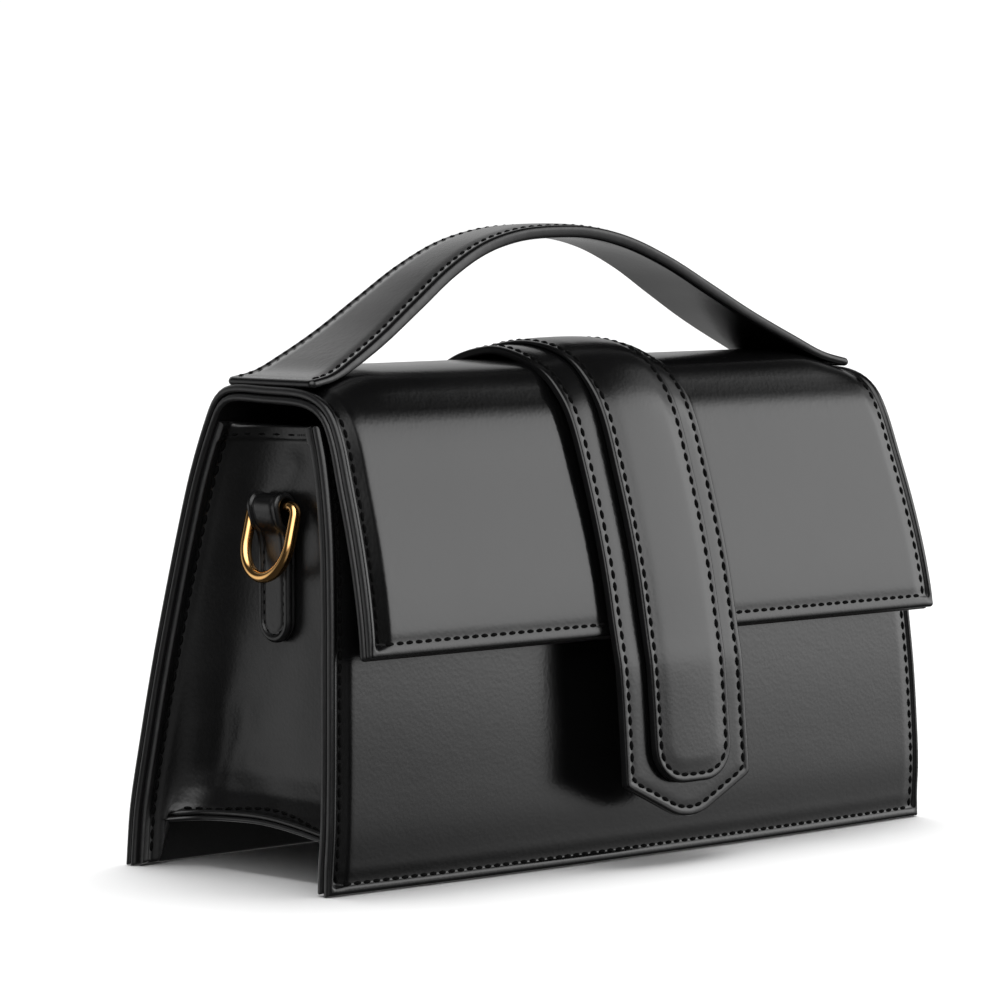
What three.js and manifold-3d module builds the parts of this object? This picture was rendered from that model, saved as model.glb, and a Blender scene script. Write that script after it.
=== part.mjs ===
// A small structured flap bag of smooth black leather, standing on a surface.
// Millimetres, +Z up, +X along the bag's width, the flap side faces -Y.
import * as THREE from 'three';
import { mergeVertices } from 'three/addons/utils/BufferGeometryUtils.js';
import Module from 'manifold-3d';

const wasm = await Module();
wasm.setup();

// ---------------------------------------------------------------- sizes (mm)
const GAP = 0.4;              // clearance between pieces that lie on each other
const FRONT_THICK = 3.0;      // front panel
const GUSSET_THICK = 1.6;     // soft side wall
const FLANGE_THICK = 2.6;     // its doubled edges, sewn on the panels
const FLANGE_FOOT_Z = 0.5;    // the flanges run down to the panels' lower edges
const BOTTOM_THICK = 1.8;     // bottom panel
const BOTTOM_TOP_Z = 14.0;    // upper face of the raised bottom
const BOTTOM_HALF = 105.6;    // half length of the bottom panel
const STRAP_THICK = 1.85;     // the wide tab
const CROWN = 4.6;            // how far the soft top stands up between the handle's ends
const CROWN_FULL_X = 87;      // the crown has its full height inside this
const CROWN_END_X = 111;      // and has died out here
const FLAP_CORNER_R = 4.5;    // rounded lower corners of the flap
const TIP_R = 18;             // rounding of the tab's pointed end
const RING_WIRE_R = 1.3;      // D-ring wire radius
const RING_HALF = 9.3;        // half width of the D-ring, on the wire's axis
const RING_DROP = 20.4;       // from the bar's axis to the lowest point of the wire's axis
const RING_STRAIGHT = 7.5;    // length of the straight sides below the bar
const RING_LEAN = 14.0;       // degrees the ring leans out as it hangs in the stiff loop
const RING_Y = -3.0;          // where the loop sits along the gusset
const RING_BAR_Z = 104.6;     // height of the D-ring's bar
const TAB_HALF = 6.4;         // half width of the loop's strip
const TAB_LAYER = 1.5;        // leather of the loop
const TAB_INNER_X = 100.3;    // face of the loop's strip that lies on the gusset
const TAB_TAIL_Z = 66.3;      // lower end of the sewn tail
const LOOP_PLAY = 0.6;        // room round the bar inside the loop
const RING_BAR_X = TAB_INNER_X + TAB_LAYER + LOOP_PLAY + RING_WIRE_R;

// Sections of the shell's outer face, from the foot of the back to the flap's edge; thick
// is the whole thickness of its two stiffened layers there.
const SHELL_SECTIONS = [
  { half: 120.0, y: 44.4, z: 0.0, thick: 4.1 },
  { half: 119.4, y: 44.4, z: 8.0, thick: 4.1 },
  { half: 118.8, y: 44.0, z: 17.0, thick: 4.1 },
  { half: 117.4, y: 40.9, z: 37.0, thick: 4.1 },
  { half: 115.9, y: 37.2, z: 58.0, thick: 4.1 },
  { half: 114.4, y: 32.8, z: 79.0, thick: 4.1 },
  { half: 112.9, y: 28.1, z: 99.5, thick: 4.1 },
  { half: 112.0, y: 24.5, z: 113.0, thick: 4.2 },
  { half: 111.2, y: 19.2, z: 127.0, thick: 4.4 },
  { half: 110.9, y: 14.6, z: 134.0, thick: 4.7 },
  { half: 110.9, y: 8.4, z: 137.6, thick: 4.8 },
  { half: 111.1, y: -8.0, z: 138.3, thick: 4.8 },
  { half: 111.2, y: -25.0, z: 137.6, thick: 4.8 },
  { half: 111.4, y: -31.4, z: 135.0, thick: 4.8 },
  { half: 111.6, y: -35.6, z: 131.2, thick: 4.9 },
  { half: 111.9, y: -39.9, z: 124.6, thick: 5.2 },
  { half: 112.5, y: -44.2, z: 113.7, thick: 5.5 },
  { half: 113.3, y: -49.1, z: 99.2, thick: 5.5 },
  { half: 114.1, y: -53.1, z: 84.7, thick: 5.4 },
  { half: 114.7, y: -55.4, z: 73.4, thick: 5.2 },
  { half: 115.0, y: -56.2, z: 67.7, thick: 5.1 },
];

// Sections of the front panel's outer face at its ends; bow is added at mid width.
const FRONT_SECTIONS = [
  { half: 121.0, y: -45.0, z: 0.0, bow: 3.4 },
  { half: 120.8, y: -45.0, z: 7.0, bow: 3.3 },
  { half: 120.6, y: -45.6, z: 17.0, bow: 3.0 },
  { half: 120.0, y: -45.4, z: 32.0, bow: 2.6 },
  { half: 119.3, y: -44.8, z: 47.0, bow: 2.2 },
  { half: 118.3, y: -43.8, z: 62.0, bow: 1.8 },
  { half: 116.9, y: -42.3, z: 80.0, bow: 1.3 },
  { half: 115.0, y: -39.5, z: 100.0, bow: 0.8 },
  { half: 113.0, y: -34.8, z: 118.0, bow: 0.4 },
  { half: 111.3, y: -30.1, z: 128.6, bow: 0.2 },
];

// Gusset: distance of the side wall from the middle, and the rounding into its flanges.
const GUSSET_SECTIONS = [
  { z: 14.4, wall: 101.2, round: 9.0, flare: 4.2 },
  { z: 17.5, wall: 101.0, round: 9.0, flare: 2.4 },
  { z: 22.0, wall: 100.8, round: 9.0, flare: 0.8 },
  { z: 28.0, wall: 100.5, round: 9.0, flare: 0.0 },
  { z: 60.0, wall: 99.9, round: 8.6, flare: 0.0 },
  { z: 95.0, wall: 99.7, round: 8.0, flare: 0.0 },
  { z: 129.0, wall: 99.2, round: 7.4, flare: 0.0 },
];
const GUSSET_TOP_BACK = 126.4;
const GUSSET_TOP_FRONT = 127.1;

// Folds and dents of the gusset: a line from (t0, z0) to (t1, z1), t runs from the back
// flange (0) to the front flange (1); out is how far the leather stands out or in.
const GUSSET_FOLDS = [
  { t0: 0.46, z0: 58, t1: 0.1, z1: 20, width: 8, out: 1.9 },
  { t0: 0.2, z0: 78, t1: 0.22, z1: 40, width: 12, out: -1.6 },
  { t0: 0.7, z0: 58, t1: 0.55, z1: 28, width: 13, out: -2.0 },
  { t0: 0.88, z0: 112, t1: 0.8, z1: 74, width: 6, out: 1.0 },
  { t0: 0.5, z0: 127, t1: 0.5, z1: 121, width: 9, out: -1.2 },
];

// How far the wide tab's outer face stands off the shell along the shell's sections, and
// how far the padded strip stands off the tab. at is the shell section's number.
const STRAP_OFFSETS = [
  { at: 7.2, half: 24.5, off: 2.3, pad: 2.2, padHalf: 14.0 },
  { at: 9.0, half: 24.6, off: 2.4, pad: 2.2, padHalf: 14.0 },
  { at: 10.0, half: 24.6, off: 2.4, pad: 2.2, padHalf: 14.1 },
  { at: 10.5, half: 24.6, off: 3.0, pad: 2.1, padHalf: 14.2 },
  { at: 11.0, half: 24.6, off: 4.9, pad: 1.8, padHalf: 14.2 },
  { at: 11.5, half: 24.6, off: 6.1, pad: 1.5, padHalf: 14.2 },
  { at: 12.0, half: 24.6, off: 6.0, pad: 1.6, padHalf: 14.2 },
  { at: 13.0, half: 24.6, off: 4.4, pad: 2.0, padHalf: 14.0 },
  { at: 14.0, half: 24.4, off: 3.2, pad: 2.7, padHalf: 13.5 },
  { at: 15.0, half: 24.2, off: 2.5, pad: 3.2, padHalf: 13.0 },
  { at: 17.0, half: 23.5, off: 2.3, pad: 3.3, padHalf: 13.1 },
  { at: 19.0, half: 23.5, off: 2.3, pad: 3.3, padHalf: 13.4 },
  { at: 20.0, half: 23.6, off: 2.6, pad: 3.2, padHalf: 13.6 },
];
// The part of the tab that hangs free below the flap, outer face.
const STRAP_FREE = [
  { half: 23.4, y: -60.9, z: 58.2, pad: 3.0, padHalf: 13.9 },
  { half: 23.8, y: -62.4, z: 40.0, pad: 3.0, padHalf: 14.3 },
  { half: 24.6, y: -63.4, z: 27.0, pad: 3.0, padHalf: 14.3 },
];
const STRAP_TIP_Z = 13.2;     // point of the tab
const STRAP_TIP_Y = -64.2;
const STRAP_CHAMFER = 26;     // degrees of the end's two sloping sides
const PAD_TIP_Z = 23.2;       // round end of the padded strip
const PAD_TIP_Y = -63.5;      // the tab's outer face there

// Half of the handle's arch: upper face, front and rear edge, thickness.
const HANDLE_SECTIONS = [
  { x: 0, z: 182.7, front: -13.3, rear: 6.5, thick: 3.6 },
  { x: 15, z: 181.9, front: -13.5, rear: 7.0, thick: 3.6 },
  { x: 30, z: 178.5, front: -14.4, rear: 7.9, thick: 3.7 },
  { x: 45, z: 172.1, front: -16.4, rear: 8.3, thick: 3.7 },
  { x: 60, z: 163.6, front: -18.9, rear: 8.6, thick: 3.7 },
  { x: 75, z: 154.9, front: -21.5, rear: 8.9, thick: 3.4 },
  { x: 90, z: 147.4, front: -24.1, rear: 9.3, thick: 3.0 },
  { x: 100, z: 143.3, front: -25.6, rear: 9.9, thick: 2.6 },
  { x: 110, z: 141.2, front: -26.6, rear: 10.4, thick: 2.4 },
];
const HANDLE_SHIFT = -2.6;    // the soft arch leans a little to one end
const HANDLE_TILT = 0.016;    // and stands a little higher on the other
const HANDLE_FREE = 40;       // the lean fades out over this length at each end

// ---------------------------------------------------------------- materials
const leather = new THREE.MeshStandardMaterial({ color: 0x1b1b1c, roughness: 0.42, metalness: 0 });
const softLeather = new THREE.MeshStandardMaterial({ color: 0x161617, roughness: 0.46, metalness: 0 });
const gold = new THREE.MeshStandardMaterial({ color: 0xd9a45c, roughness: 0.22, metalness: 1 });

// ---------------------------------------------------------------- helpers
const lerp = (a, b, t) => a + (b - a) * t;
const smooth = (t) => { const c = Math.min(1, Math.max(0, t)); return c * c * (3 - 2 * c); };

// Value of column key at place in a table whose column by is rising.
function lookup(table, by, at, key) {
  if (at <= table[0][by]) return table[0][key];
  for (let i = 1; i < table.length; i++) {
    if (at <= table[i][by]) {
      const a = table[i - 1], b = table[i];
      return lerp(a[key], b[key], (at - a[by]) / (b[by] - a[by]));
    }
  }
  return table[table.length - 1][key];
}

// Smooth rows through a table of sections: each step is cut into parts.
function sectionCurve(table) {
  return new THREE.CatmullRomCurve3(
    table.map((s) => new THREE.Vector3(s.half, s.y, s.z)), false, 'centripetal');
}

// In-plane (Y, Z) normals of a row of points, turned to the left of the way along it.
function normalsYZ(rows) {
  return rows.map((p, i) => {
    const a = rows[Math.max(0, i - 1)], b = rows[Math.min(rows.length - 1, i + 1)];
    const dy = b.y - a.y, dz = b.z - a.z, l = Math.hypot(dy, dz);
    return { y: dz / l, z: -dy / l };
  });
}

// Closed body from vertices and triangles, turned so that its faces point out.
function bodyFrom(points, faces) {
  let volume = 0;
  for (const [a, b, c] of faces) volume += points[a].dot(points[b].clone().cross(points[c]));
  const geometry = new THREE.BufferGeometry();
  geometry.setAttribute('position', new THREE.Float32BufferAttribute(points.flatMap((p) => [p.x, p.y, p.z]), 3));
  geometry.setIndex(faces.flatMap(([a, b, c]) => (volume > 0 ? [a, b, c] : [a, c, b])));
  geometry.computeVertexNormals();
  return geometry;
}

// A wall between two grids of points of the same size: an outer and an inner face.
function wall(outer, inner) {
  const rows = outer.length, cols = outer[0].length;
  const points = [...outer.flat(), ...inner.flat()];
  const o = (i, j) => i * cols + j, n = (i, j) => rows * cols + i * cols + j;
  const faces = [];
  const quad = (a, b, c, d) => faces.push([a, b, c], [a, c, d]);
  for (let i = 0; i < rows - 1; i++) {
    for (let j = 0; j < cols - 1; j++) {
      quad(o(i, j), o(i, j + 1), o(i + 1, j + 1), o(i + 1, j));
      quad(n(i, j), n(i + 1, j), n(i + 1, j + 1), n(i, j + 1));
    }
  }
  for (let i = 0; i < rows - 1; i++) {
    quad(o(i, 0), o(i + 1, 0), n(i + 1, 0), n(i, 0));
    quad(o(i, cols - 1), n(i, cols - 1), n(i + 1, cols - 1), o(i + 1, cols - 1));
  }
  for (let j = 0; j < cols - 1; j++) {
    quad(o(0, j), n(0, j), n(0, j + 1), o(0, j + 1));
    quad(o(rows - 1, j), o(rows - 1, j + 1), n(rows - 1, j + 1), n(rows - 1, j));
  }
  return bodyFrom(points, faces);
}

// A bar through closed rings of points; flat ends, or a closed loop.
function bar(rings, loop) {
  const count = rings.length, sides = rings[0].length;
  const points = rings.flat(), faces = [];
  const at = (i, j) => (i % count) * sides + (j % sides);
  for (let i = 0; i < (loop ? count : count - 1); i++) {
    for (let j = 0; j < sides; j++) {
      faces.push([at(i, j), at(i, j + 1), at(i + 1, j + 1)], [at(i, j), at(i + 1, j + 1), at(i + 1, j)]);
    }
  }
  if (!loop) {
    for (let j = 1; j < sides - 1; j++) {
      faces.push([at(0, 0), at(0, j + 1), at(0, j)]);
      faces.push([at(count - 1, 0), at(count - 1, j), at(count - 1, j + 1)]);
    }
  }
  return bodyFrom(points, faces);
}

function solidOf(geometry) {
  const g = geometry.clone();
  g.deleteAttribute('normal');
  if (g.attributes.uv) g.deleteAttribute('uv');
  const m = mergeVertices(g, 1e-4);
  return new wasm.Manifold(new wasm.Mesh({
    numProp: 3,
    vertProperties: new Float32Array(m.attributes.position.array),
    triVerts: new Uint32Array(m.index.array),
  }));
}

function geometryOf(solid) {
  const mesh = solid.getMesh();
  const g = new THREE.BufferGeometry();
  g.setAttribute('position', new THREE.Float32BufferAttribute(Array.from(mesh.vertProperties), 3));
  g.setIndex(Array.from(mesh.triVerts));
  g.computeVertexNormals();
  return g;
}

const bag = new THREE.Group();
function add(name, geometry, material) {
  const mesh = new THREE.Mesh(geometry, material);
  mesh.name = name;
  bag.add(mesh);
  return mesh;
}

// ---------------------------------------------------------------- shell
const shellCurve = sectionCurve(SHELL_SECTIONS);
const SHELL_STEPS = SHELL_SECTIONS.length - 1;
const TOP_FROM = 9, TOP_TO = 14.4;      // the crown lies between these sections

function crownAt(at, x) {
  const along = Math.sin(Math.PI * Math.min(1, Math.max(0, (at - TOP_FROM) / (TOP_TO - TOP_FROM))));
  const across = smooth((CROWN_END_X - Math.abs(x)) / (CROWN_END_X - CROWN_FULL_X));
  return CROWN * Math.pow(Math.max(0, along), 0.8) * across;
}

// The shell's thickness at a section number, and its outer point there at a distance x
// from the middle.
function boardAt(at) {
  const i = Math.min(SHELL_STEPS - 1, Math.floor(at));
  return lerp(SHELL_SECTIONS[i].thick, SHELL_SECTIONS[i + 1].thick, at - i);
}
function shellPoint(at, x) {
  const p = shellCurve.getPoint(at / SHELL_STEPS);
  return new THREE.Vector3(x, p.y, p.z + crownAt(at, x));
}
function shellNormal(at, x) {
  const a = shellPoint(Math.max(0, at - 0.05), x), b = shellPoint(Math.min(SHELL_STEPS, at + 0.05), x);
  const dy = b.y - a.y, dz = b.z - a.z, l = Math.hypot(dy, dz);
  return new THREE.Vector3(0, dz / l, -dy / l);
}

const shellPlaces = [];
for (let i = 0; i < SHELL_STEPS; i++) {
  shellPlaces.push(i);
  if (i >= 1 && i < SHELL_STEPS - 1) shellPlaces.push(i + 0.5);
}
// finer rows for the flap's rounded lower corners
for (const back of [0.52, 0.28, 0.1]) shellPlaces.push(SHELL_STEPS - back);
shellPlaces.push(SHELL_STEPS);

const ACROSS = [-1, -0.965, -0.9, -0.83, -0.76, -0.5, -0.25, 0, 0.25, 0.5, 0.76, 0.83, 0.9, 0.965, 1];

function shellFaces() {
  const outer = [], inner = [];
  const end = shellPoint(SHELL_STEPS, 0).z;
  for (const at of shellPlaces) {
    const p = shellCurve.getPoint(at / SHELL_STEPS);
    const up = at > SHELL_STEPS - 2 ? p.z - end : FLAP_CORNER_R;
    const cut = up < FLAP_CORNER_R ? FLAP_CORNER_R - Math.sqrt(Math.max(0, FLAP_CORNER_R ** 2 - (FLAP_CORNER_R - up) ** 2)) : 0;
    const half = p.x - cut;
    const rowOut = [], rowIn = [];
    for (const f of ACROSS) {
      const x = f * half;
      const q = shellPoint(at, x);
      const n = at < 1 ? new THREE.Vector3(0, 1, 0) : shellNormal(at, x);
      rowOut.push(q);
      rowIn.push(q.clone().addScaledVector(n, -boardAt(at)));
    }
    outer.push(rowOut);
    inner.push(rowIn);
  }
  return { outer, inner };
}
const shell = shellFaces();
add('back_flap_shell', wall(shell.outer, shell.inner), leather);

// y of the back panel's inner face at a height, taken from the facets themselves
const backInner = shell.inner.slice(0, 18).map((row) => ({ z: row[7].z, y: row[7].y }));
const backInnerY = (z) => lookup(backInner, 'z', z, 'y');
const backHalf = (z) => lookup(SHELL_SECTIONS.slice(0, 10), 'z', z, 'half');

// ---------------------------------------------------------------- front panel
const FRONT_ACROSS = [-1, -0.9, -0.75, -0.5, -0.25, 0, 0.25, 0.5, 0.75, 0.9, 1];
function frontFaces() {
  const rows = FRONT_SECTIONS.map((s) => new THREE.Vector3(s.half, s.y, s.z));
  const norms = normalsYZ(rows);
  const outer = [], inner = [];
  FRONT_SECTIONS.forEach((s, i) => {
    const first = i === 0;
    const n = first ? { y: 1, z: 0 } : norms[i];
    const rowOut = [], rowIn = [];
    for (const f of FRONT_ACROSS) {
      const y = s.y - s.bow * (1 - f * f);
      rowOut.push(new THREE.Vector3(f * s.half, y, s.z));
      rowIn.push(new THREE.Vector3(f * s.half, y + n.y * FRONT_THICK, s.z + n.z * FRONT_THICK));
    }
    outer.push(rowOut);
    inner.push(rowIn);
  });
  return { outer, inner };
}
const front = frontFaces();
add('front_panel', wall(front.outer, front.inner), leather);

// y of the front panel's inner face at a height and a distance from the middle
function frontInnerY(z, x) {
  const rows = front.inner.map((row) => ({ z: row[0].z, y: row[0].y }));
  const half = lookup(FRONT_SECTIONS, 'z', z, 'half');
  const f = Math.min(1, Math.abs(x) / half);
  const edge = FRONT_ACROSS.filter((v) => v >= 0);
  let k = 1;
  while (k < edge.length - 1 && f > edge[k]) k++;
  const bowAt = (v) => 1 - v * v;
  const part = lerp(bowAt(edge[k - 1]), bowAt(edge[k]), (f - edge[k - 1]) / (edge[k] - edge[k - 1]));
  return lookup(rows, 'z', z, 'y') - lookup(FRONT_SECTIONS, 'z', z, 'bow') * part;
}

// ---------------------------------------------------------------- gussets
function foldAt(t, z) {
  let out = 0;
  for (const f of GUSSET_FOLDS) {
    const span = 60;                       // t is about this many millimetres
    const ax = f.t0 * span, bx = f.t1 * span, dx = bx - ax, dz = f.z1 - f.z0;
    const k = Math.min(1, Math.max(0, ((t * span - ax) * dx + (z - f.z0) * dz) / (dx * dx + dz * dz)));
    const d = Math.hypot(t * span - (ax + k * dx), z - (f.z0 + k * dz));
    out += f.out * Math.exp(-((d / f.width) ** 2) * 1.6);
  }
  return out * Math.sin(Math.PI * Math.min(1, Math.max(0, t)));
}

const GUSSET_ROWS = [0, 0.012, 0.03, 0.06, 0.1, 0.16, 0.23, 0.3, 0.37, 0.45, 0.53, 0.62, 0.72, 0.82, 0.92, 0.96, 1];
const ARC = 4, WALL = 8;

function gussetFaces(side) {
  const outer = [], inner = [];
  for (const v of GUSSET_ROWS) {
    const path = [], zs = [];
    const cols = [];
    cols.push({ kind: 'back', k: 0 }, { kind: 'back', k: 0.5 }, { kind: 'back', k: 0.86 });
    for (let i = 0; i <= ARC; i++) cols.push({ kind: 'backArc', k: i / ARC });
    for (let i = 1; i < WALL; i++) cols.push({ kind: 'wall', k: i / WALL });
    for (let i = 0; i <= ARC; i++) cols.push({ kind: 'frontArc', k: i / ARC });
    cols.push({ kind: 'front', k: 0.14 }, { kind: 'front', k: 0.5 }, { kind: 'front', k: 1 });
    for (const c of cols) {
      const t = c.kind === 'wall' ? c.k : (c.kind.startsWith('back') ? 0 : 1);
      const flange = c.kind === 'back' || c.kind === 'front';
      const foot = flange ? FLANGE_FOOT_Z : GUSSET_SECTIONS[0].z;
      const z = lerp(foot, lerp(GUSSET_TOP_BACK, GUSSET_TOP_FRONT, t), v);
      const r = lookup(GUSSET_SECTIONS, 'z', z, 'round');
      const xw = lookup(GUSSET_SECTIONS, 'z', z, 'wall');
      const flare = lookup(GUSSET_SECTIONS, 'z', z, 'flare');
      const yb = backInnerY(z) - GAP - FLANGE_THICK;
      const yf = (x) => frontInnerY(z, x) + GAP + FLANGE_THICK;
      const endBack = backHalf(z) - 1.5, endFront = lookup(FRONT_SECTIONS, 'z', z, 'half') - 0.3;
      let x, y, nx, ny;                        // n points from the seen face into the leather
      if (c.kind === 'back') {
        x = lerp(endBack, xw + r, c.k); y = yb; nx = 0; ny = 1;
      } else if (c.kind === 'backArc') {
        const a = c.k * Math.PI / 2;
        x = xw + r - r * Math.sin(a); y = yb - r + r * Math.cos(a); nx = -Math.sin(a); ny = Math.cos(a);
      } else if (c.kind === 'wall') {
        x = xw + foldAt(t, z); y = lerp(yb - r, yf(xw) + r, c.k); nx = -1; ny = 0;
      } else if (c.kind === 'frontArc') {
        const a = c.k * Math.PI / 2;
        x = xw + r - r * Math.cos(a); y = yf(x) + r - r * Math.sin(a); nx = -Math.cos(a); ny = -Math.sin(a);
      } else {
        x = lerp(xw + r, endFront, c.k); y = yf(x); nx = 0; ny = -1;
      }
      const end = c.kind.startsWith('back') ? endBack : endFront;
      x += flare * Math.max(0, 1 - Math.max(0, x - xw) / (end - xw));
      const away = c.kind === 'backArc' ? c.k : c.kind === 'frontArc' ? 1 - c.k : (c.kind === 'wall' ? 1 : 0);
      const thick = lerp(FLANGE_THICK, GUSSET_THICK, away);
      path.push({ x, y, nx: nx * thick, ny: ny * thick });
      zs.push(z);
    }
    outer.push(path.map((p, i) => new THREE.Vector3(side * p.x, p.y, zs[i])));
    inner.push(path.map((p, i) => new THREE.Vector3(side * (p.x + p.nx), p.y + p.ny, zs[i])));
  }
  return { outer, inner };
}
for (const [name, side] of [['gusset_left', -1], ['gusset_right', 1]]) {
  const g = gussetFaces(side);
  add(name, wall(g.outer, g.inner), softLeather);
}

// ---------------------------------------------------------------- bottom panel
{
  const upper = [], lower = [];
  for (let i = 0; i <= 10; i++) {
    const x = lerp(-BOTTOM_HALF, BOTTOM_HALF, i / 10);
    const yf = frontInnerY(BOTTOM_TOP_Z - 1, x) + GAP, yb = backInnerY(BOTTOM_TOP_Z) - GAP;
    const rowUp = [], rowLow = [];
    for (let j = 0; j <= 4; j++) {
      const y = lerp(yf, yb, j / 4);
      rowUp.push(new THREE.Vector3(x, y, BOTTOM_TOP_Z));
      rowLow.push(new THREE.Vector3(x, y, BOTTOM_TOP_Z - BOTTOM_THICK));
    }
    upper.push(rowUp);
    lower.push(rowLow);
  }
  add('bottom_panel', wall(upper, lower), softLeather);
}

// ---------------------------------------------------------------- tab and padded strip
// Outer face of the tab as rows (half width, y, z), with its outward normal.
function strapRows() {
  const rows = [];
  const first = STRAP_OFFSETS[0].at, last = STRAP_OFFSETS[STRAP_OFFSETS.length - 1].at;
  const places = [first];
  for (let at = Math.ceil(first * 2) / 2; at < last; at += at >= 8.5 && at < 15 ? 0.5 : 1) if (at > first) places.push(at);
  places.push(last);
  for (const at of places) {
    const n = shellNormal(at, 0);
    const p = shellPoint(at, 0).addScaledVector(n, lookup(STRAP_OFFSETS, 'at', at, 'off'));
    rows.push({
      half: lookup(STRAP_OFFSETS, 'at', at, 'half'), y: p.y, z: p.z,
      pad: lookup(STRAP_OFFSETS, 'at', at, 'pad'), padHalf: lookup(STRAP_OFFSETS, 'at', at, 'padHalf'),
    });
  }
  for (const s of STRAP_FREE) rows.push({ ...s });
  return rows;
}
const tabRows = strapRows();
const STRAP_ACROSS = [-1, -0.6, -0.25, 0, 0.25, 0.6, 1];

{
  // pointed end: the sides come in along straight chamfers to a rounded point
  const rows = tabRows.map((r) => ({ ...r }));
  const last = rows[rows.length - 1];
  const place = (z) => lerp(STRAP_TIP_Y, last.y, (z - STRAP_TIP_Z) / (last.z - STRAP_TIP_Z));
  const angle = THREE.MathUtils.degToRad(STRAP_CHAMFER);
  const low = STRAP_TIP_Z - TIP_R * (1 / Math.cos(angle) - 1);    // where the chamfers would meet
  for (const half of [last.half, 19, 13]) {
    const z = low + Math.tan(angle) * half;
    rows.push({ half, y: place(z), z });
  }
  for (const part of [1, 0.72, 0.45, 0.2]) {
    const half = TIP_R * Math.sin(angle * part), z = STRAP_TIP_Z + TIP_R * (1 - Math.cos(angle * part));
    rows.push({ half, y: place(z), z });
  }
  const norms = normalsYZ(rows);
  const outer = [], inner = [];
  rows.forEach((r, i) => {
    outer.push(STRAP_ACROSS.map((f) => new THREE.Vector3(f * r.half, r.y, r.z)));
    inner.push(STRAP_ACROSS.map((f) => new THREE.Vector3(f * r.half, r.y - norms[i].y * STRAP_THICK, r.z - norms[i].z * STRAP_THICK)));
  });
  add('strap_base', wall(outer, inner), leather);
}

{
  // padded strip: crowned across, round lower end
  const rows = tabRows.slice(1).map((r) => ({ ...r }));
  rows.pop();
  const last = rows[rows.length - 1];
  const R = last.padHalf;
  for (const deg of [0, 22, 44, 62, 76, 86]) {
    const z = PAD_TIP_Z + R - R * Math.sin(deg * Math.PI / 180);
    rows.push({
      half: 0, z, y: lerp(PAD_TIP_Y, last.y, (z - PAD_TIP_Z) / (last.z - PAD_TIP_Z)),
      pad: 3.0, padHalf: R * Math.cos(deg * Math.PI / 180),
    });
  }
  const norms = normalsYZ(rows);
  const outer = [], inner = [];
  rows.forEach((r, i) => {
    outer.push(STRAP_ACROSS.map((f) => {
      const stand = r.pad - 0.7 * f * f;
      return new THREE.Vector3(f * r.padHalf, r.y + norms[i].y * stand, r.z + norms[i].z * stand);
    }));
    inner.push(STRAP_ACROSS.map((f) => new THREE.Vector3(f * r.padHalf, r.y + norms[i].y * GAP, r.z + norms[i].z * GAP)));
  });
  add('strap_pad', wall(outer, inner), leather);
}

// ---------------------------------------------------------------- handle
{
  const curve = (key) => new THREE.CatmullRomCurve3(
    [...HANDLE_SECTIONS.slice(1).reverse().map((s) => new THREE.Vector3(-s.x, s[key], 0)),
      ...HANDLE_SECTIONS.map((s) => new THREE.Vector3(s.x, s[key], 0))], false, 'centripetal');
  const top = curve('z');
  const steps = (HANDLE_SECTIONS.length - 1) * 2 * 2;
  const rings = [];
  for (let i = 0; i <= steps; i++) {
    const u = i / steps;
    const p = top.getPoint(u), a = top.getPoint(Math.max(0, u - 0.01)), b = top.getPoint(Math.min(1, u + 0.01));
    const ends = i === 0 || i === steps;
    const dx = ends ? 1 : b.x - a.x, dz = ends ? 0 : b.y - a.y, l = Math.hypot(dx, dz);
    const nx = -dz / l, nz = dx / l;
    const ax = Math.abs(p.x);
    const yf = lookup(HANDLE_SECTIONS, 'x', ax, 'front'), yb = lookup(HANDLE_SECTIONS, 'x', ax, 'rear');
    const th = lookup(HANDLE_SECTIONS, 'x', ax, 'thick');
    const r = th * 0.32;
    const section = [
      [yf + r, 0], [yb - r, 0], [yb, -r], [yb, r - th], [yb - r, -th], [yf + r, -th], [yf, r - th], [yf, -r],
    ];
    const lean = Math.min(1, Math.max(0, (110 - ax) / HANDLE_FREE));
    const sx = HANDLE_SHIFT * lean, sz = HANDLE_TILT * p.x * lean;
    rings.push(section.map(([y, d]) => new THREE.Vector3(p.x + sx + nx * d, y, p.y + sz + nz * d)));
  }
  add('handle', bar(rings, false), leather);
}

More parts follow.
